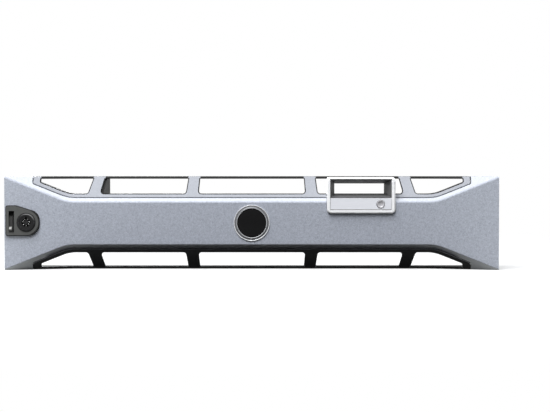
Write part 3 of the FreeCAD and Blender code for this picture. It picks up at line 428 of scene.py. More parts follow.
HEAD_SIDES = 48
HEAD_BANDS = 3
HEAD_CROWN = 0.8
SHANK_SIDES = 32
RECESS_ARMS = (("X", "Y", 1.3), ("Y", "X", 1.24))
screw_tree, wires = begin_tree("cross_head_screw", [
    "Head Radius", "Head Height", "Shank Radius", "Shank Length", "Recess Reach", "Recess Width"])
head = wires["Head Radius"].add("GeometryNodeMeshCylinder", None, {
    "Vertices": HEAD_SIDES, "Side Segments": HEAD_BANDS, "Radius": wires["Head Radius"],
    "Depth": wires["Head Height"]})
crowned = head.add("GeometryNodeScaleElements", None, {
    "Geometry": head, "Selection": head.beside("Top"), "Scale": HEAD_CROWN})
head_lift = head.add("ShaderNodeCombineXYZ", None, {"Z": wires["Head Height"] * 0.5})
raised = crowned.add("GeometryNodeTransform", None, {"Geometry": crowned, "Translation": head_lift})
recess_place = head.add("ShaderNodeCombineXYZ", None, {"Z": wires["Head Height"]})
arms = []
for long_way, cross_way, depth_share in RECESS_ARMS:
    arm_size = head.add("ShaderNodeCombineXYZ", None, {
        long_way: wires["Recess Reach"] * 2.0, cross_way: wires["Recess Width"],
        "Z": wires["Head Height"] * depth_share})
    arm = head.add("GeometryNodeMeshCube", None, {"Size": arm_size})
    arms.append(arm.add("GeometryNodeTransform", None, {"Geometry": arm, "Translation": recess_place}))
cross = arms[0].add("GeometryNodeMeshBoolean", {"operation": "UNION", "solver": "EXACT"})
for arm in arms:
    screw_tree.links.new(arm.socket, cross.socket.node.inputs["Mesh 2"])
driven = raised.add("GeometryNodeMeshBoolean", {"operation": "DIFFERENCE", "solver": "EXACT"},
                    {"Mesh 1": raised, "Mesh 2": cross})
shank = head.add("GeometryNodeMeshCylinder", None, {
    "Vertices": SHANK_SIDES, "Radius": wires["Shank Radius"], "Depth": wires["Shank Length"]})
shank_drop = shank.add("ShaderNodeCombineXYZ", None, {"Z": wires["Shank Length"] * -0.5})
lowered = shank.add("GeometryNodeTransform", None, {"Geometry": shank, "Translation": shank_drop})
screw = driven.add("GeometryNodeJoinGeometry")
for section in (driven, lowered):
    screw_tree.links.new(section.socket, screw.socket.node.inputs["Geometry"])
end_tree(screw_tree, wires, screw, TO_REAR)

SCREW_HEAD = 1.8
SCREW_SHANK = 8.0
SHELL_HEAD_RADIUS = 2.8
SHELL_SCREW_INNER = 91.53


def middle(reach):
    """The place midway along a reach."""
    return sum(reach) / 2


shell_reach = reach_of("frame_screws")
shell_screw_y = middle(shell_reach["up"])
shell_screw_outer = shell_reach["right"][1] - SHELL_HEAD_RADIUS
shell_screw_row = (-shell_screw_outer, -SHELL_SCREW_INNER, SHELL_SCREW_INNER, shell_screw_outer)
shell_places = [spot(x, shell_screw_y, PLATE_BACK) for x in shell_screw_row]
shell_screws = grow("shell_screws", screw_tree, shell_places, {
    "Head Radius": SHELL_HEAD_RADIUS, "Head Height": SCREW_HEAD, "Shank Radius": 1.25,
    "Shank Length": SCREW_SHANK, "Recess Reach": 1.6, "Recess Width": 0.6}, zinc)
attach(shell_screws, "bezel")
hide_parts("frame_screws")


# Display surround. A raised moulded frame in a lighter silver paint, with its hood running back round
# the display funnel. Two small cross-head screws hold it from behind.
SURROUND_TONES = ((0.86, 0.862, 0.872, 1), (0.95, 0.952, 0.960, 1))
TOUCHED_PAINT = (0.74, 0.74, 0.745, 1)
surround_paint, place = begin_finish("surround_paint")
speck = place.cells(1500.0)
haze = place.noise(60.0, 3.0)
touch = place.noise(300.0, 4.0, 0.65).step(0.64, 0.74)
pale_paint = (speck * 0.5 + haze * 0.5).mix(*SURROUND_TONES)
end_finish(surround_paint, {
    "Base Color": (touch * 0.2).mix(pale_paint, TOUCHED_PAINT),
    "Metallic": 0.02,
    "Roughness": 0.38 + speck * 0.08 + touch * 0.1,
    "Specular IOR Level": 0.3,
    "Normal": place.bump(speck + haze * 0.5, 0.000015),
})
dress("lcd_surround", surround_paint)

SURROUND_HEAD_RADIUS = 2.0
surround_reach = reach_of("surround_screws")
surround_screw_y = middle(surround_reach["up"])
surround_left, surround_right = surround_reach["right"]
surround_screw_row = (surround_left + SURROUND_HEAD_RADIUS, surround_right - SURROUND_HEAD_RADIUS)
surround_places = [spot(x, surround_screw_y, PLATE_BACK) for x in surround_screw_row]
surround_screws = grow("surround_screws_detailed", screw_tree, surround_places, {
    "Head Radius": SURROUND_HEAD_RADIUS, "Head Height": SCREW_HEAD, "Shank Radius": 1.0,
    "Shank Length": SCREW_SHANK, "Recess Reach": 1.15, "Recess Width": 0.45}, zinc)
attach(surround_screws, "bezel")
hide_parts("surround_screws")


# Display funnel. Matt grey plastic walls that narrow towards the clear opening, with a fine grain and
# faint stains.
FUNNEL_TONES = ((0.062, 0.062, 0.064, 1), (0.112, 0.112, 0.114, 1))
funnel_grey, place = begin_finish("funnel_grey")
grain = place.noise(1900.0, 3.0)
stain = place.noise(90.0, 4.0, 0.6)
end_finish(funnel_grey, {
    "Base Color": (grain * 0.5 + stain * 0.5).mix(*FUNNEL_TONES),
    "Roughness": 0.52 + grain * 0.1 + stain * 0.08,
    "Specular IOR Level": 0.3,
    "Normal": place.bump(grain, 0.00004),
})
dress("lcd_tunnel", funnel_grey)


# Name strip. A thin satin foil plate in the surround's recess, brushed along its length, with a line of
# painted shade at its foot and a fainter one at each end.
strip_reach = reach_of("name_strip")
STRIP_LOW = MID_HEIGHT + strip_reach["up"][0]
STRIP_MID = middle(strip_reach["right"])
STRIP_HALF = strip_reach["right"][1] - STRIP_MID
FOOT_SHADE_END = (0.5, 1.0)
END_SHADE_START = (-0.8, -0.3)
FOIL_TONES = ((0.68, 0.685, 0.725, 1), (0.83, 0.835, 0.88, 1))
FOIL_SHADE = (0.20, 0.19, 0.19, 1)
strip_foil, place = begin_finish("strip_foil")
brushed = place.drawn((0.04, 1.0, 1.0)).noise(2400.0, 3.0, 0.6)
prints = place.noise(130.0, 3.0, 0.6).step(0.5, 0.7)
shade_at_foot = 1 - (place.axis(UP) - STRIP_LOW * MM).fade(*FOOT_SHADE_END)
past_end = abs(place.axis(RIGHT) - STRIP_MID * MM) - STRIP_HALF * MM
shade_at_ends = past_end.fade(*END_SHADE_START)
# Painted shade along the strip's foot and, more faintly, at its ends.
seam_shade = (shade_at_foot * 0.8).most(shade_at_ends * 0.45)
foil = brushed.mix(*FOIL_TONES)
end_finish(strip_foil, {
    "Base Color": seam_shade.mix(foil, FOIL_SHADE),
    "Metallic": 0.08,
    "Roughness": 0.34 + brushed * 0.12 + prints * 0.08,
    "Specular IOR Level": 0.3,
    "Normal": place.bump(brushed, 0.000015),
})
dress("name_strip", strip_foil)


# Push button. A dished cap of grey plastic with a stop flange, on a stem through the back plate. A
# folded leaf of blackened spring strip behind the flange pushes it out again.
button_reach = reach_of("id_button")
BUTTON_X = middle(button_reach["right"])
BUTTON_Y = middle(button_reach["up"])
BUTTON_PROFILE = (
    (0, 1.6), (0.9, 1.62), (1.6, 1.72), (2.2, 1.95), (2.7, 2.25), (3.0, 2.43), (3.2, 2.5), (3.4, 2.46),
    (3.53, 2.33), (3.6, 2.1), (3.6, -1.5), (4.25, -1.5), (4.4, -1.65), (4.4, -2.55), (4.25, -2.7),
    (1.6, -2.7), (1.6, -10.8), (1.4, -11.03), (0, -11.03))
BUTTON_TONES = ((0.40, 0.39, 0.41, 1), (0.52, 0.51, 0.53, 1))
button_grey, place = begin_finish("button_grey")
grain = place.noise(1600.0)
polish = place.noise(260.0, 3.0)
end_finish(button_grey, {
    "Base Color": (grain * 0.5 + polish * 0.5).mix(*BUTTON_TONES),
    "Roughness": 0.2 + grain * 0.06 + polish * 0.1,
    "Specular IOR Level": 0.4,
    "Normal": place.bump(grain, 0.000012),
})


def skin(name, rings, looped=False):
    """Joins rings of points into one closed surface. A ring of one point is a tip."""
    form = bmesh.new()
    rows = [[form.verts.new(point) for point in ring] for ring in rings]
    following = rows[1:] + rows[:1] if looped else rows[1:]
    for row, onward in zip(rows, following):
        for step in range(max(len(row), len(onward))):
            corners = [row[step % len(row)], row[(step + 1) % len(row)],
                       onward[(step + 1) % len(onward)], onward[step % len(onward)]]
            form.faces.new(dict.fromkeys(corners))
    if not looped:
        for row in (rows[0], rows[-1]):
            if len(row) > 1:
                form.faces.new(row)
    bmesh.ops.recalc_face_normals(form, faces=form.faces)
    mesh = bpy.data.meshes.new(name)
    form.to_mesh(mesh)
    form.free()
    soften(mesh)
    return set_out(name, mesh)


def spot_round(x, y, radius, angle, z):
    """A place at an angle round an axis through the face."""
    return spot(x + radius * math.cos(angle), y + radius * math.sin(angle), z)


def turned(name, x, y, profile, looped=False, sides=96):
    """A piece turned about an axis through the face, from its radii and depths in millimetres."""
    rings = []
    for radius, z in profile:
        count = sides if radius else 1
        angles = [math.tau * step / count for step in range(count)]
        rings.append([spot_round(x, y, radius, angle, z) for angle in angles])
    return skin(name, rings, looped)


def finish_piece(piece, material, body, replaced=None):
    """Gives a new piece its finish, its body and the solid that it stands for."""
    piece.data.materials.append(material)
    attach(piece, body)
    if replaced:
        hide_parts(replaced)


button = turned("dished_button", BUTTON_X, BUTTON_Y, BUTTON_PROFILE)
finish_piece(button, button_grey, "button", "id_button")

SPRING_TONES = ((0.012, 0.012, 0.0125, 1), (0.026, 0.026, 0.0265, 1))
spring_black, place = begin_finish("spring_black")
scale = place.noise(1800.0, 3.0)
end_finish(spring_black, {
    "Base Color": scale.mix(*SPRING_TONES),
    "Roughness": 0.5 + scale * 0.15,
    "Specular IOR Level": 0.06,
    "Normal": place.bump(scale, 0.000008),
})


def bent(corners, radius, steps=8):
    """The corners of a flat line with each inner one rounded."""
    line = [Vector(corners[0])]
    for before, corner, after in zip(corners, corners[1:], corners[2:]):
        corner = Vector(corner)
        start = corner + (Vector(before) - corner).normalized() * radius
        end = corner + (Vector(after) - corner).normalized() * radius
        for step in range(steps + 1):
            share = step / steps
            line.append(start.lerp(corner, share).lerp(corner.lerp(end, share), share))
    line.append(Vector(corners[-1]))
    return line


def strip_spring(name, line, thickness, low, high, upright):
    """A strip of an even thickness that follows a line, seen edge on, from low to high across it."""
    rings = []
    for place_on, point in enumerate(line):
        ahead = line[min(place_on + 1, len(line) - 1)] - line[max(place_on - 1, 0)]
        half_wall = Vector((-ahead.y, ahead.x)).normalized() * thickness / 2
        near = point + half_wall
        far = point - half_wall
        edges = ((near, low), (far, low), (far, high), (near, high))
        if upright:
            rings.append([spot(flat.x, flat.y, level) for flat, level in edges])
        else:
            rings.append([spot(flat.x, level, flat.y) for flat, level in edges])
    return skin(name, rings)


def joint_called(name):
    """A joint of the frame."""
    return next(joint for joint in frame["joints"] if joint["name"] == name)


STRIP = 0.5
LEAF_BEND = 1.2
leaf_reach = reach_of("button_spring")
leaf_near, leaf_far = leaf_reach["right"]
leaf_back, leaf_front = leaf_reach["out"]
fold = leaf_far - STRIP / 2
leaf_low = leaf_back + STRIP / 2
leaf_high = leaf_front - STRIP / 2
leaf_corners = [(leaf_near, leaf_low), (fold, leaf_low), (fold, leaf_high), (leaf_near, leaf_high)]
leaf = strip_spring("leaf_strip", bent(leaf_corners, LEAF_BEND), STRIP, *leaf_reach["up"], upright=False)
finish_piece(leaf, spring_black, "bezel", "button_spring")
leaf_height = leaf_front - leaf_back
button_stroke = joint_called("button_press")["range_m"][1] / MM
spot(leaf_near, BUTTON_Y, leaf_back)
(leaf_height - button_stroke) / leaf_height
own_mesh(leaf)


# Badge. A satin ring pressed into its seat in the face, round a domed gloss black disc. The ring has a
# darker sloping band, with a painted highlight on its outer bead and a fainter one on its inner rim.
badge_reach = reach_of("badge_ring")
BADGE_X = middle(badge_reach["right"])
BADGE_Y = middle(badge_reach["up"])
BADGE_SIDES = 128
RING_PROFILE = (
    (13.5, -0.8), (16.6, -0.8), (16.6, 0.55), (16.53, 0.75), (16.36, 0.85), (16.15, 0.78), (15.75, 0.45),
    (15.5, 0.45), (14.6, 0.85), (14.25, 1.15), (14.05, 1.26), (13.8, 1.3), (13.58, 1.22), (13.5, 1.1))


def from_axis(place, x, y):
    """How far a place is from an axis through the face."""
    aside = place.axis(RIGHT) - x * MM
    above = place.axis(UP) - (MID_HEIGHT + y) * MM
    return place.reckon("SQRT", aside * aside + above * above)


BEAD_START = (15.8, 16.0)
RIM_END = (13.95, 14.15)
BAND_TONES = ((0.12, 0.122, 0.128, 1), (0.17, 0.172, 0.18, 1))
HIGHLIGHT_METAL = (0.74, 0.745, 0.76, 1)
ring_highlighted, place = begin_finish("ring_highlighted")
radius = from_axis(place, BADGE_X, BADGE_Y)
bead_highlight = radius.fade(*BEAD_START)
rim_highlight = 1 - radius.fade(*RIM_END)
turning = place.noise(1400.0, 3.0)
worn = place.noise(420.0, 4.0, 0.6).step(0.6, 0.72)
band_tone = turning.mix(*BAND_TONES)
end_finish(ring_highlighted, {
    # Painted highlights: the outer bead, and more faintly the inner rim, are lightened towards bright
    # metal.
    "Base Color": bead_highlight.most(rim_highlight * 0.6).mix(band_tone, HIGHLIGHT_METAL),
    "Metallic": 0.1,
    "Roughness": 0.3 + turning * 0.1 + worn * 0.1,
    "Specular IOR Level": 0.15,
    "Normal": place.bump(turning, 0.000008),
})
ring = turned("beaded_ring", BADGE_X, BADGE_Y, RING_PROFILE, looped=True, sides=BADGE_SIDES)
finish_piece(ring, ring_highlighted, "bezel", "badge_ring")

DISC_TONES = ((0.004, 0.004, 0.0042, 1), (0.008, 0.008, 0.0084, 1))
disc_black, place = begin_finish("disc_black")
grain = place.noise(900.0)
swirl = place.noise(240.0, 5.0, 0.7).step(0.62, 0.72)
end_finish(disc_black, {
    "Base Color": grain.mix(*DISC_TONES),
    "Roughness": 0.16 + grain * 0.06 + swirl * 0.1,
    "Specular IOR Level": 0.07,
    "Normal": place.bump(grain, 0.00001),
})
DISC_RADIUS = 13.4
DISC_EDGE = 0.75
DISC_RISE = 0.95
DOME_POWER = 2.4
DOME_SHARES = (0, 0.12, 0.24, 0.36, 0.48, 0.6, 0.7, 0.8, 0.88, 0.94, 0.975, 0.99)
DISC_STEM = [(DISC_RADIUS, 0.68), (DISC_RADIUS, -0.8), (2.0, -0.8), (2.0, -6.8), (1.8, -7.03), (0, -7.03)]
dome = [(DISC_RADIUS * share, DISC_EDGE + DISC_RISE * (1 - share ** DOME_POWER)) for share in DOME_SHARES]
disc = turned("domed_disc", BADGE_X, BADGE_Y, dome + DISC_STEM, sides=BADGE_SIDES)
finish_piece(disc, disc_black, "bezel", "badge_disc")


# Lock pad. A dark grey moulded plate with a fine grain that stands in a cut-out of the face, with a slot
# for the release. Painted shade darkens a line round the lock's collar, a wider band along the pad's
# right edge, and the pad's side walls and bevels.
lock_axis = joint_called("lock_turn")["pos_m"]
LOCK_X = lock_axis[RIGHT] / MM
LOCK_Y = lock_axis[UP] / MM - MID_HEIGHT
COLLAR_SHADE_END = (8.5, 9.2)
RIGHT_SHADE_START = (11.0, 11.5)
RIGHT_PART_START = (2.0, 6.0)
PAD_TONES = ((0.062, 0.063, 0.061, 1), (0.110, 0.111, 0.108, 1))
PAD_SHADE = (0.012, 0.012, 0.012, 1)
pad_grey, place = begin_finish("pad_grey")
facing = place.beside("Normal")
grain = place.noise(2100.0, 3.0)
cloud = place.noise(140.0, 3.0)
polish = place.noise(420.0, 5.0, 0.65).step(0.6, 0.72)
radius = from_axis(place, LOCK_X, LOCK_Y)
# Painted shade in the seam round the collar.
seam_shade = 1 - radius.fade(*COLLAR_SHADE_END)
at_right = (place.axis(RIGHT) - LOCK_X * MM).fade(*RIGHT_PART_START)
# Painted shade along the pad's right edge.
right_edge_shade = radius.fade(*RIGHT_SHADE_START) * at_right
# Painted shade on faces that do not face the front and in the two shaded lines.
unshaded_front = (-facing.axis(BACK)).step(0.80, 0.95) * (1 - seam_shade.most(right_edge_shade) * 0.9)
pad_body = (grain * 0.5 + cloud * 0.5).mix(*PAD_TONES)
end_finish(pad_grey, {
    "Base Color": unshaded_front.mix(PAD_SHADE, pad_body),
    "Roughness": 0.46 + grain * 0.1 - polish * 0.1,
    "Specular IOR Level": 0.12,
    "Normal": place.bump(grain, 0.00004),
})
dress("lock_pad", pad_grey)


# Lock. A dark plated barrel, with a painted highlight along its collar's upper right edge and some real
# wear, is clamped by a zinc washer and hexagon nut on its threaded tail. Its plug turns with a ring keyway
# and seven pins, and carries a cam on its square end with a screw.
COLLAR_INNER = (6.9, 7.3)
COLLAR_OUTER = (8.1, 8.3)
COLLAR_FRONT = (21.0, 21.6)
HIGHLIGHT_ABOVE = (0.5, 5.5)
HIGHLIGHT_RIGHT = (-6.5, 1.5)
PLATED_DARK = (0.014, 0.014, 0.0145, 1)
PLATING_WEAR_AND_HIGHLIGHT = (0.14, 0.14, 0.14, 1)
plated, place = begin_finish("plated")
grain = place.noise(1200.0, 3.0)
wear = place.noise(500.0, 5.0, 0.65).step(0.58, 0.7)
radius = from_axis(place, LOCK_X, LOCK_Y)
collar_edge = radius.fade(*COLLAR_INNER) * (1 - radius.fade(*COLLAR_OUTER))
at_front = (-place.axis(BACK)).fade(*COLLAR_FRONT)
above_lock = (place.axis(UP) - (MID_HEIGHT + LOCK_Y) * MM).fade(*HIGHLIGHT_ABOVE)
right_of_lock = (place.axis(RIGHT) - LOCK_X * MM).fade(*HIGHLIGHT_RIGHT)
# Random wear, together with a painted highlight on the collar's upper right edge.
wear_and_highlight = (wear * 0.3).most(collar_edge * at_front * above_lock * right_of_lock)
end_finish(plated, {
    "Base Color": wear_and_highlight.mix(PLATED_DARK, PLATING_WEAR_AND_HIGHLIGHT),
    "Metallic": 0.1,
    "Roughness": 0.30 + grain * 0.14,
    "Specular IOR Level": 0.15,
    "Normal": place.bump(grain, 0.00001),
})
COLLAR_PROFILE = [(5.95, 2.8), (6.1, 3.0), (7.45, 3.0), (7.7, 2.94), (7.88, 2.78), (7.95, 2.55),
                  (8.0, 2.3), (8.0, 2.0), (7.0, 2.0)]
TAIL_PROFILE = [(6.6, -17.5), (6.3, -18.0), (5.95, -18.0)]
THREAD_START = -9.2
THREAD_END = -17.4
THREAD_PITCH = 0.8
THREAD_PROFILE = ((7.0, 0.0), (7.0, 0.15), (6.6, 0.4), (6.6, 0.5))
thread = []
for turn in range(int((THREAD_START - THREAD_END) / THREAD_PITCH)):
    crest = THREAD_START - THREAD_PITCH * turn
    thread += [(reach, crest - drop) for reach, drop in THREAD_PROFILE]
barrel = turned("threaded_barrel", LOCK_X, LOCK_Y, COLLAR_PROFILE + thread + TAIL_PROFILE, looped=True)
finish_piece(barrel, plated, "bezel", "lock_barrel")
dress("lock_plug", plated)

TO_FRONT = (math.radians(90.0), 0.0, 0.0)
PIN_SIDES = 20
PIN_BANDS = 10
ROD_SHARE = 0.96
pin_tree, wires = begin_tree("key_pin", ["Radius", "Length"])
rod = wires["Radius"].add("GeometryNodeMeshCylinder", None, {
    "Vertices": PIN_SIDES, "Radius": wires["Radius"] * ROD_SHARE, "Depth": wires["Length"]})
rod_drop = rod.add("ShaderNodeCombineXYZ", None, {"Z": wires["Length"] * -0.5})
rod_low = rod.add("GeometryNodeTransform", None, {"Geometry": rod, "Translation": rod_drop})
tip = rod.add("GeometryNodeMeshUVSphere", None, {
    "Segments": PIN_SIDES, "Rings": PIN_BANDS, "Radius": wires["Radius"]})
pin = tip.add("GeometryNodeJoinGeometry")
for section in (rod_low, tip):
    pin_tree.links.new(section.socket, pin.socket.node.inputs["Geometry"])
end_tree(pin_tree, wires, pin, TO_FRONT)

PIN_TONES = ((0.46, 0.46, 0.45, 1), (0.62, 0.62, 0.61, 1))
pin_steel, place = begin_finish("pin_steel")
scratch = place.noise(1500.0, 4.0, 0.6)
end_finish(pin_steel, {
    "Base Color": scratch.mix(*PIN_TONES),
    "Metallic": 0.8,
    "Roughness": 0.18 + scratch * 0.15,
    "Normal": place.bump(scratch, 0.000004),
})
PIN_COUNT = 7
PIN_RING = 3.2
PIN_FRONT = 1.0
FIRST_PIN = math.radians(90.0)
pin_places = []
for pin_number in range(PIN_COUNT):
    angle = math.tau * (pin_number + 0.5) / PIN_COUNT + FIRST_PIN
    pin_places.append(spot_round(LOCK_X, LOCK_Y, PIN_RING, angle, PIN_FRONT))
pins = grow("key_pins", pin_tree, pin_places, {"Radius": 0.62, "Length": 5.3}, pin_steel)
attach(pins, "lock_core")

nut_reach = reach_of("lock_nut")
NUT_BACK, NUT_FRONT = nut_reach["out"]
NUT_HALF = nut_reach["right"][1] - LOCK_X
NUT_FACE = NUT_HALF * 0.98
NUT_BORE = 7.05
NUT_MOUTH = NUT_BORE + 0.25
NUT_EDGE = 0.1
NUT_SIDES = 96
ONE_SIDE = math.pi / 3
CORNER_SLOPE = math.tan(math.radians(30.0))
nut_rings = [[], [], [], [], [], []]
for step in range(NUT_SIDES):
    angle = math.tau * step / NUT_SIDES
    off_flat = (angle + ONE_SIDE / 2) % ONE_SIDE - ONE_SIDE / 2
    reach = NUT_HALF / math.cos(off_flat)
    fall = (reach - NUT_HALF) * CORNER_SLOPE + NUT_EDGE
    outline = ((NUT_BORE, NUT_FRONT), (NUT_FACE, NUT_FRONT), (reach, NUT_FRONT - fall),
               (reach, NUT_BACK + fall), (NUT_FACE, NUT_BACK), (NUT_MOUTH, NUT_BACK))
    for ring_points, (out, z) in zip(nut_rings, outline):
        ring_points.append(spot_round(LOCK_X, LOCK_Y, out, angle, z))
nut = skin("chamfered_nut", nut_rings, looped=True)
finish_piece(nut, zinc, "bezel", "lock_nut")
dress("lock_washer", zinc)
dress("lock_cam", zinc)

plug_end = reach_of("lock_plug")["out"][0]
cam_screw = grow("cam_bolt", screw_tree, [spot(LOCK_X, LOCK_Y, plug_end)], {
    "Head Radius": 4.2, "Head Height": SCREW_HEAD, "Shank Radius": 1.5, "Shank Length": SCREW_SHANK,
    "Recess Reach": 2.3, "Recess Width": 0.8}, zinc)
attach(cam_screw, "lock_core")
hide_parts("cam_screw")


# Release. A dark moulded slider in the pad's slot, with a ridged ledge that carries a painted highlight,
# painted shade down its right side, and an arm behind it that ends in a barb. A zigzag of blackened strip,
# kept in place by a low lip, pushes it down. A thin leaf under the arm closes the hole in the back plate
# when the slider is up.
LATCH_X = middle(reach_of("release_latch")["right"])
LEDGE_TOP = -4.2
LEDGE_HIGHLIGHT_END = (0.4, 1.6)
LEDGE_FRONT = (19.5, 20.5)
LEDGE_LEFT = (221.0, 222.0)
SHADE_RIGHT = (-221.3, -220.6)
SHADE_FRONT = (12.0, 14.0)
SLIDER_TONES = ((0.026, 0.026, 0.0255, 1), (0.046, 0.046, 0.045, 1))
SLIDER_SHADE = (0.005, 0.005, 0.005, 1)
LEDGE_HIGHLIGHT = (0.62, 0.62, 0.60, 1)
latch_grey, place = begin_finish("latch_grey")
grain = place.noise(2200.0, 3.0)
highlight_breakup = place.noise(700.0, 4.0, 0.6)
near_ledge = 1 - abs(place.axis(UP) - (MID_HEIGHT + LEDGE_TOP) * MM).fade(*LEDGE_HIGHLIGHT_END)
in_front = (-place.axis(BACK)).fade(*LEDGE_FRONT)
at_left = (-place.axis(RIGHT)).fade(*LEDGE_LEFT)
# Painted highlight on the front left of the ledge, broken up by noise.
ledge_highlight = near_ledge * in_front * at_left * highlight_breakup.step(0.3, 0.55)
slider = grain.mix(*SLIDER_TONES)
# Painted shade down the slider's right side.
shaded_side = place.axis(RIGHT).fade(*SHADE_RIGHT) * (-place.axis(BACK)).fade(*SHADE_FRONT)
latch_body = (shaded_side * 0.85).mix(slider, SLIDER_SHADE)
end_finish(latch_grey, {
    "Base Color": (ledge_highlight * 0.85).mix(latch_body, LEDGE_HIGHLIGHT),
    "Roughness": 0.40 + grain * 0.1 - ledge_highlight * 0.15,
    "Specular IOR Level": 0.15,
    "Normal": place.bump(grain, 0.00003),
})
dress("release_latch", latch_grey)

GRIP_SIDES = 16
GRIP_BANDS = 5
GRIP_TIP = 0.4
GRIP_FRONT = 2.6
GRIP_LEVELS = (-6.9, -6.1, -5.3)
ALONG_WIDTH = (0.0, math.radians(90.0), 0.0)
grip_tree, wires = begin_tree("grip_ridge", ["Radius", "Length"])
bar = wires["Radius"].add("GeometryNodeMeshCylinder", None, {
    "Vertices": GRIP_SIDES, "Side Segments": GRIP_BANDS, "Radius": wires["Radius"],
    "Depth": wires["Length"]})
one_end = bar.add("GeometryNodeScaleElements", None, {
    "Geometry": bar, "Selection": bar.beside("Top"), "Scale": GRIP_TIP})
ridge = one_end.add("GeometryNodeScaleElements", None, {
    "Geometry": one_end, "Selection": bar.beside("Bottom"), "Scale": GRIP_TIP})
end_tree(grip_tree, wires, ridge, ALONG_WIDTH)
grips = grow("finger_ridges", grip_tree, [spot(LATCH_X, y, GRIP_FRONT) for y in GRIP_LEVELS],
             {"Radius": 0.26, "Length": 3.4}, latch_grey)
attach(grips, "latch")

KEEPER_HALF = 3.2
KEEPER_ENDS = (LATCH_X - KEEPER_HALF, LATCH_X + KEEPER_HALF)
KEEPER_PROFILE = ((5.5, -2.9), (7.35, -2.9), (7.35, -3.7), (9.1, -3.7), (9.3, -3.85), (9.3, -4.15),
                  (9.1, -4.3), (5.8, -4.3), (5.5, -4.0))
keeper = skin("spring_keeper", [[spot(x, y, z) for y, z in KEEPER_PROFILE] for x in KEEPER_ENDS])
finish_piece(keeper, latch_grey, "latch")

SHUTTER_OUTLINE = ((-225.0, -4.8), (-219.2, -4.8), (-219.2, -6.6), (-217.9, -9.4), (-217.9, -13.2),
                   (-218.3, -13.6), (-224.6, -13.6), (-225.0, -13.2))
SHUTTER_GAP = 0.1
SHUTTER_WALL = 0.4
SHUTTER_FRONT = PLATE_BACK - SHUTTER_GAP
SHUTTER_BACK = SHUTTER_FRONT - SHUTTER_WALL
shutter = skin("slot_shutter", [[spot(x, y, z) for x, y in SHUTTER_OUTLINE]
                                for z in (SHUTTER_FRONT, SHUTTER_BACK)])
finish_piece(shutter, latch_grey, "latch")

ZIGZAG_FOLDS = 4
zigzag_reach = reach_of("latch_spring")
zigzag_left, zigzag_right = zigzag_reach["right"]
zigzag_low, zigzag_high = zigzag_reach["up"]
zigzag_ends = (zigzag_left + STRIP / 2, zigzag_right - STRIP / 2)
zigzag_height = zigzag_high - zigzag_low
zigzag_pitch = (zigzag_height - STRIP) / ZIGZAG_FOLDS
zigzag_corners = []
for run in range(ZIGZAG_FOLDS + 1):
    level = zigzag_low + STRIP / 2 + zigzag_pitch * run
    ends = zigzag_ends if run % 2 == 0 else zigzag_ends[::-1]
    zigzag_corners += [(x, level) for x in ends]
zigzag = strip_spring("zigzag_strip", bent(zigzag_corners, zigzag_pitch / 2), STRIP,
                      *zigzag_reach["out"], upright=True)
finish_piece(zigzag, spring_black, "bezel", "latch_spring")
zigzag_top = spot(LATCH_X, zigzag_high, middle(zigzag_reach["out"]))
latch_stroke = joint_called("latch_lift")["range_m"][1] / MM
(zigzag_height - latch_stroke) / zigzag_height
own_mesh(zigzag)


# Studio. A white sweep that keeps the bezel's soft shadow and lights it less in the middle than at the
# sides, a large softbox high in front at the left, a small one low behind, a dim room that is lighter
# above, and a camera nearly level with the bezel.
FLOOR_HALF = 4.0
FLOOR_CORNERS = ((-1, -1), (1, -1), (1, 1), (-1, 1))
SHADOW_END = (250.0, 750.0)
PALE_SIDES = (150.0, 290.0)
PURE_WHITE = (1, 1, 1, 1)
SHADOW_WHITE = (0.82, 0.82, 0.82, 1)
BOUNCE_TONES = ((0.005, 0.005, 0.005, 1), (0.50, 0.50, 0.47, 1))
floor_mesh = bpy.data.meshes.new("floor")
floor_mesh.from_pydata([(x * FLOOR_HALF, y * FLOOR_HALF, 0) for x, y in FLOOR_CORNERS], [], [(0, 1, 2, 3)])
floor = set_out("floor", floor_mesh)
floor_white = bpy.data.materials.new("floor_white")
floor_white.use_nodes = True
floor_white.node_tree.nodes.clear()


def looked_at(tree):
    """1 for rays that show the background itself, in glass and metal too, and 0 for those that light."""
    direct = Wire(tree).add("ShaderNodeLightPath", output="Is Camera Ray")
    mirrored = direct.beside("Is Glossy Ray")
    let_through = direct.beside("Is Transmission Ray")
    return direct.most(mirrored).most(let_through)


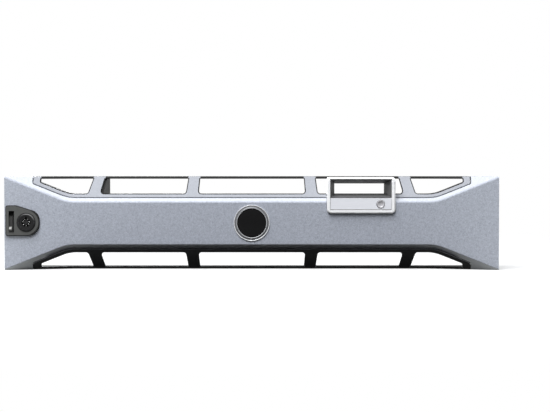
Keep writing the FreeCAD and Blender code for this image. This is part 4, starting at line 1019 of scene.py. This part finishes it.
seen = looked_at(floor_white.node_tree)
place = seen.add("ShaderNodeTexCoord", output="Object")
away = place.add("ShaderNodeVectorMath", {"operation": "LENGTH"}, {0: place}, "Value")
white = seen.add("ShaderNodeEmission", None, {"Color": PURE_WHITE, "Strength": 1.0})
shaded = seen.add("ShaderNodeBsdfDiffuse", None, {"Color": SHADOW_WHITE})
to_the_sides = abs(place.axis(RIGHT)).fade(*PALE_SIDES)
bounce = seen.add("ShaderNodeBsdfDiffuse", None, {"Color": to_the_sides.mix(*BOUNCE_TONES)})
shadow_share = 0.5 - away.fade(*SHADOW_END) * 0.5
shown = seen.add("ShaderNodeMixShader", None, {0: shadow_share, 1: white, 2: shaded})
whole = seen.add("ShaderNodeMixShader", None, {0: seen, 1: bounce, 2: shown})
whole.add("ShaderNodeOutputMaterial", None, {"Surface": whole})
floor_mesh.materials.append(floor_white)

ROOM_TONES = ((0.02, 0.02, 0.021, 1), (0.60, 0.61, 0.63, 1))
world = bpy.data.worlds.new("studio")
world.use_nodes = True
world.node_tree.nodes.clear()
seen = looked_at(world.node_tree)
height = seen.add("ShaderNodeTexCoord", output="Generated").axis(UP)
room = height.step(0.1, 0.9).mix(*ROOM_TONES)
shown = seen.add("ShaderNodeBackground", None, {"Color": seen.mix(room, PURE_WHITE), "Strength": 1.0})
shown.add("ShaderNodeOutputWorld", None, {"Surface": shown})
scene = bpy.context.scene
scene.world = world

SOFTBOX_AWAY = 1.6
SOFTBOX_TINT = (0.97, 0.985, 1.0)
SOFTBOX_TARGET = Vector((0.0, 0.0, 0.04))
SOFTBOXES = (
    ("front_softbox", 1.2, 0.9, 14.2, (-0.20, -0.43, 0.88)),
    ("rear_softbox", 0.5, 0.34, 36.0, (-0.24, 0.96, 0.14)))
for name, wide, high, radiance, direction in SOFTBOXES:
    softbox = bpy.data.lights.new(name, "AREA")
    softbox.shape = "RECTANGLE"
    softbox.size = wide
    softbox.size_y = high
    softbox.energy = radiance * wide * high * math.pi
    softbox.color = SOFTBOX_TINT
    stand = set_out(name, softbox)
    stand.location = SOFTBOX_TARGET + Vector(direction) * SOFTBOX_AWAY
    stand.rotation_euler = (SOFTBOX_TARGET - stand.location).to_track_quat("-Z", "Y").to_euler()
    stand.visible_camera = False

LENS_SENSOR = 36.0
LENS_LENGTH = 106.3
LOOK_DOWN = math.radians(1.75)
DISTANCE = 1.5
AIM = Vector((0.0215, -0.0195, 0.0593))
scene.view_settings.view_transform = "Standard"
lens = bpy.data.cameras.new("camera")
lens.sensor_width = LENS_SENSOR
lens.lens = LENS_LENGTH
camera = set_out("camera", lens)
camera.location = AIM + Vector((0.0, -DISTANCE * math.cos(LOOK_DOWN), DISTANCE * math.sin(LOOK_DOWN)))
camera.rotation_euler = (math.radians(90.0) - LOOK_DOWN, 0.0, 0.0)
scene.camera = camera
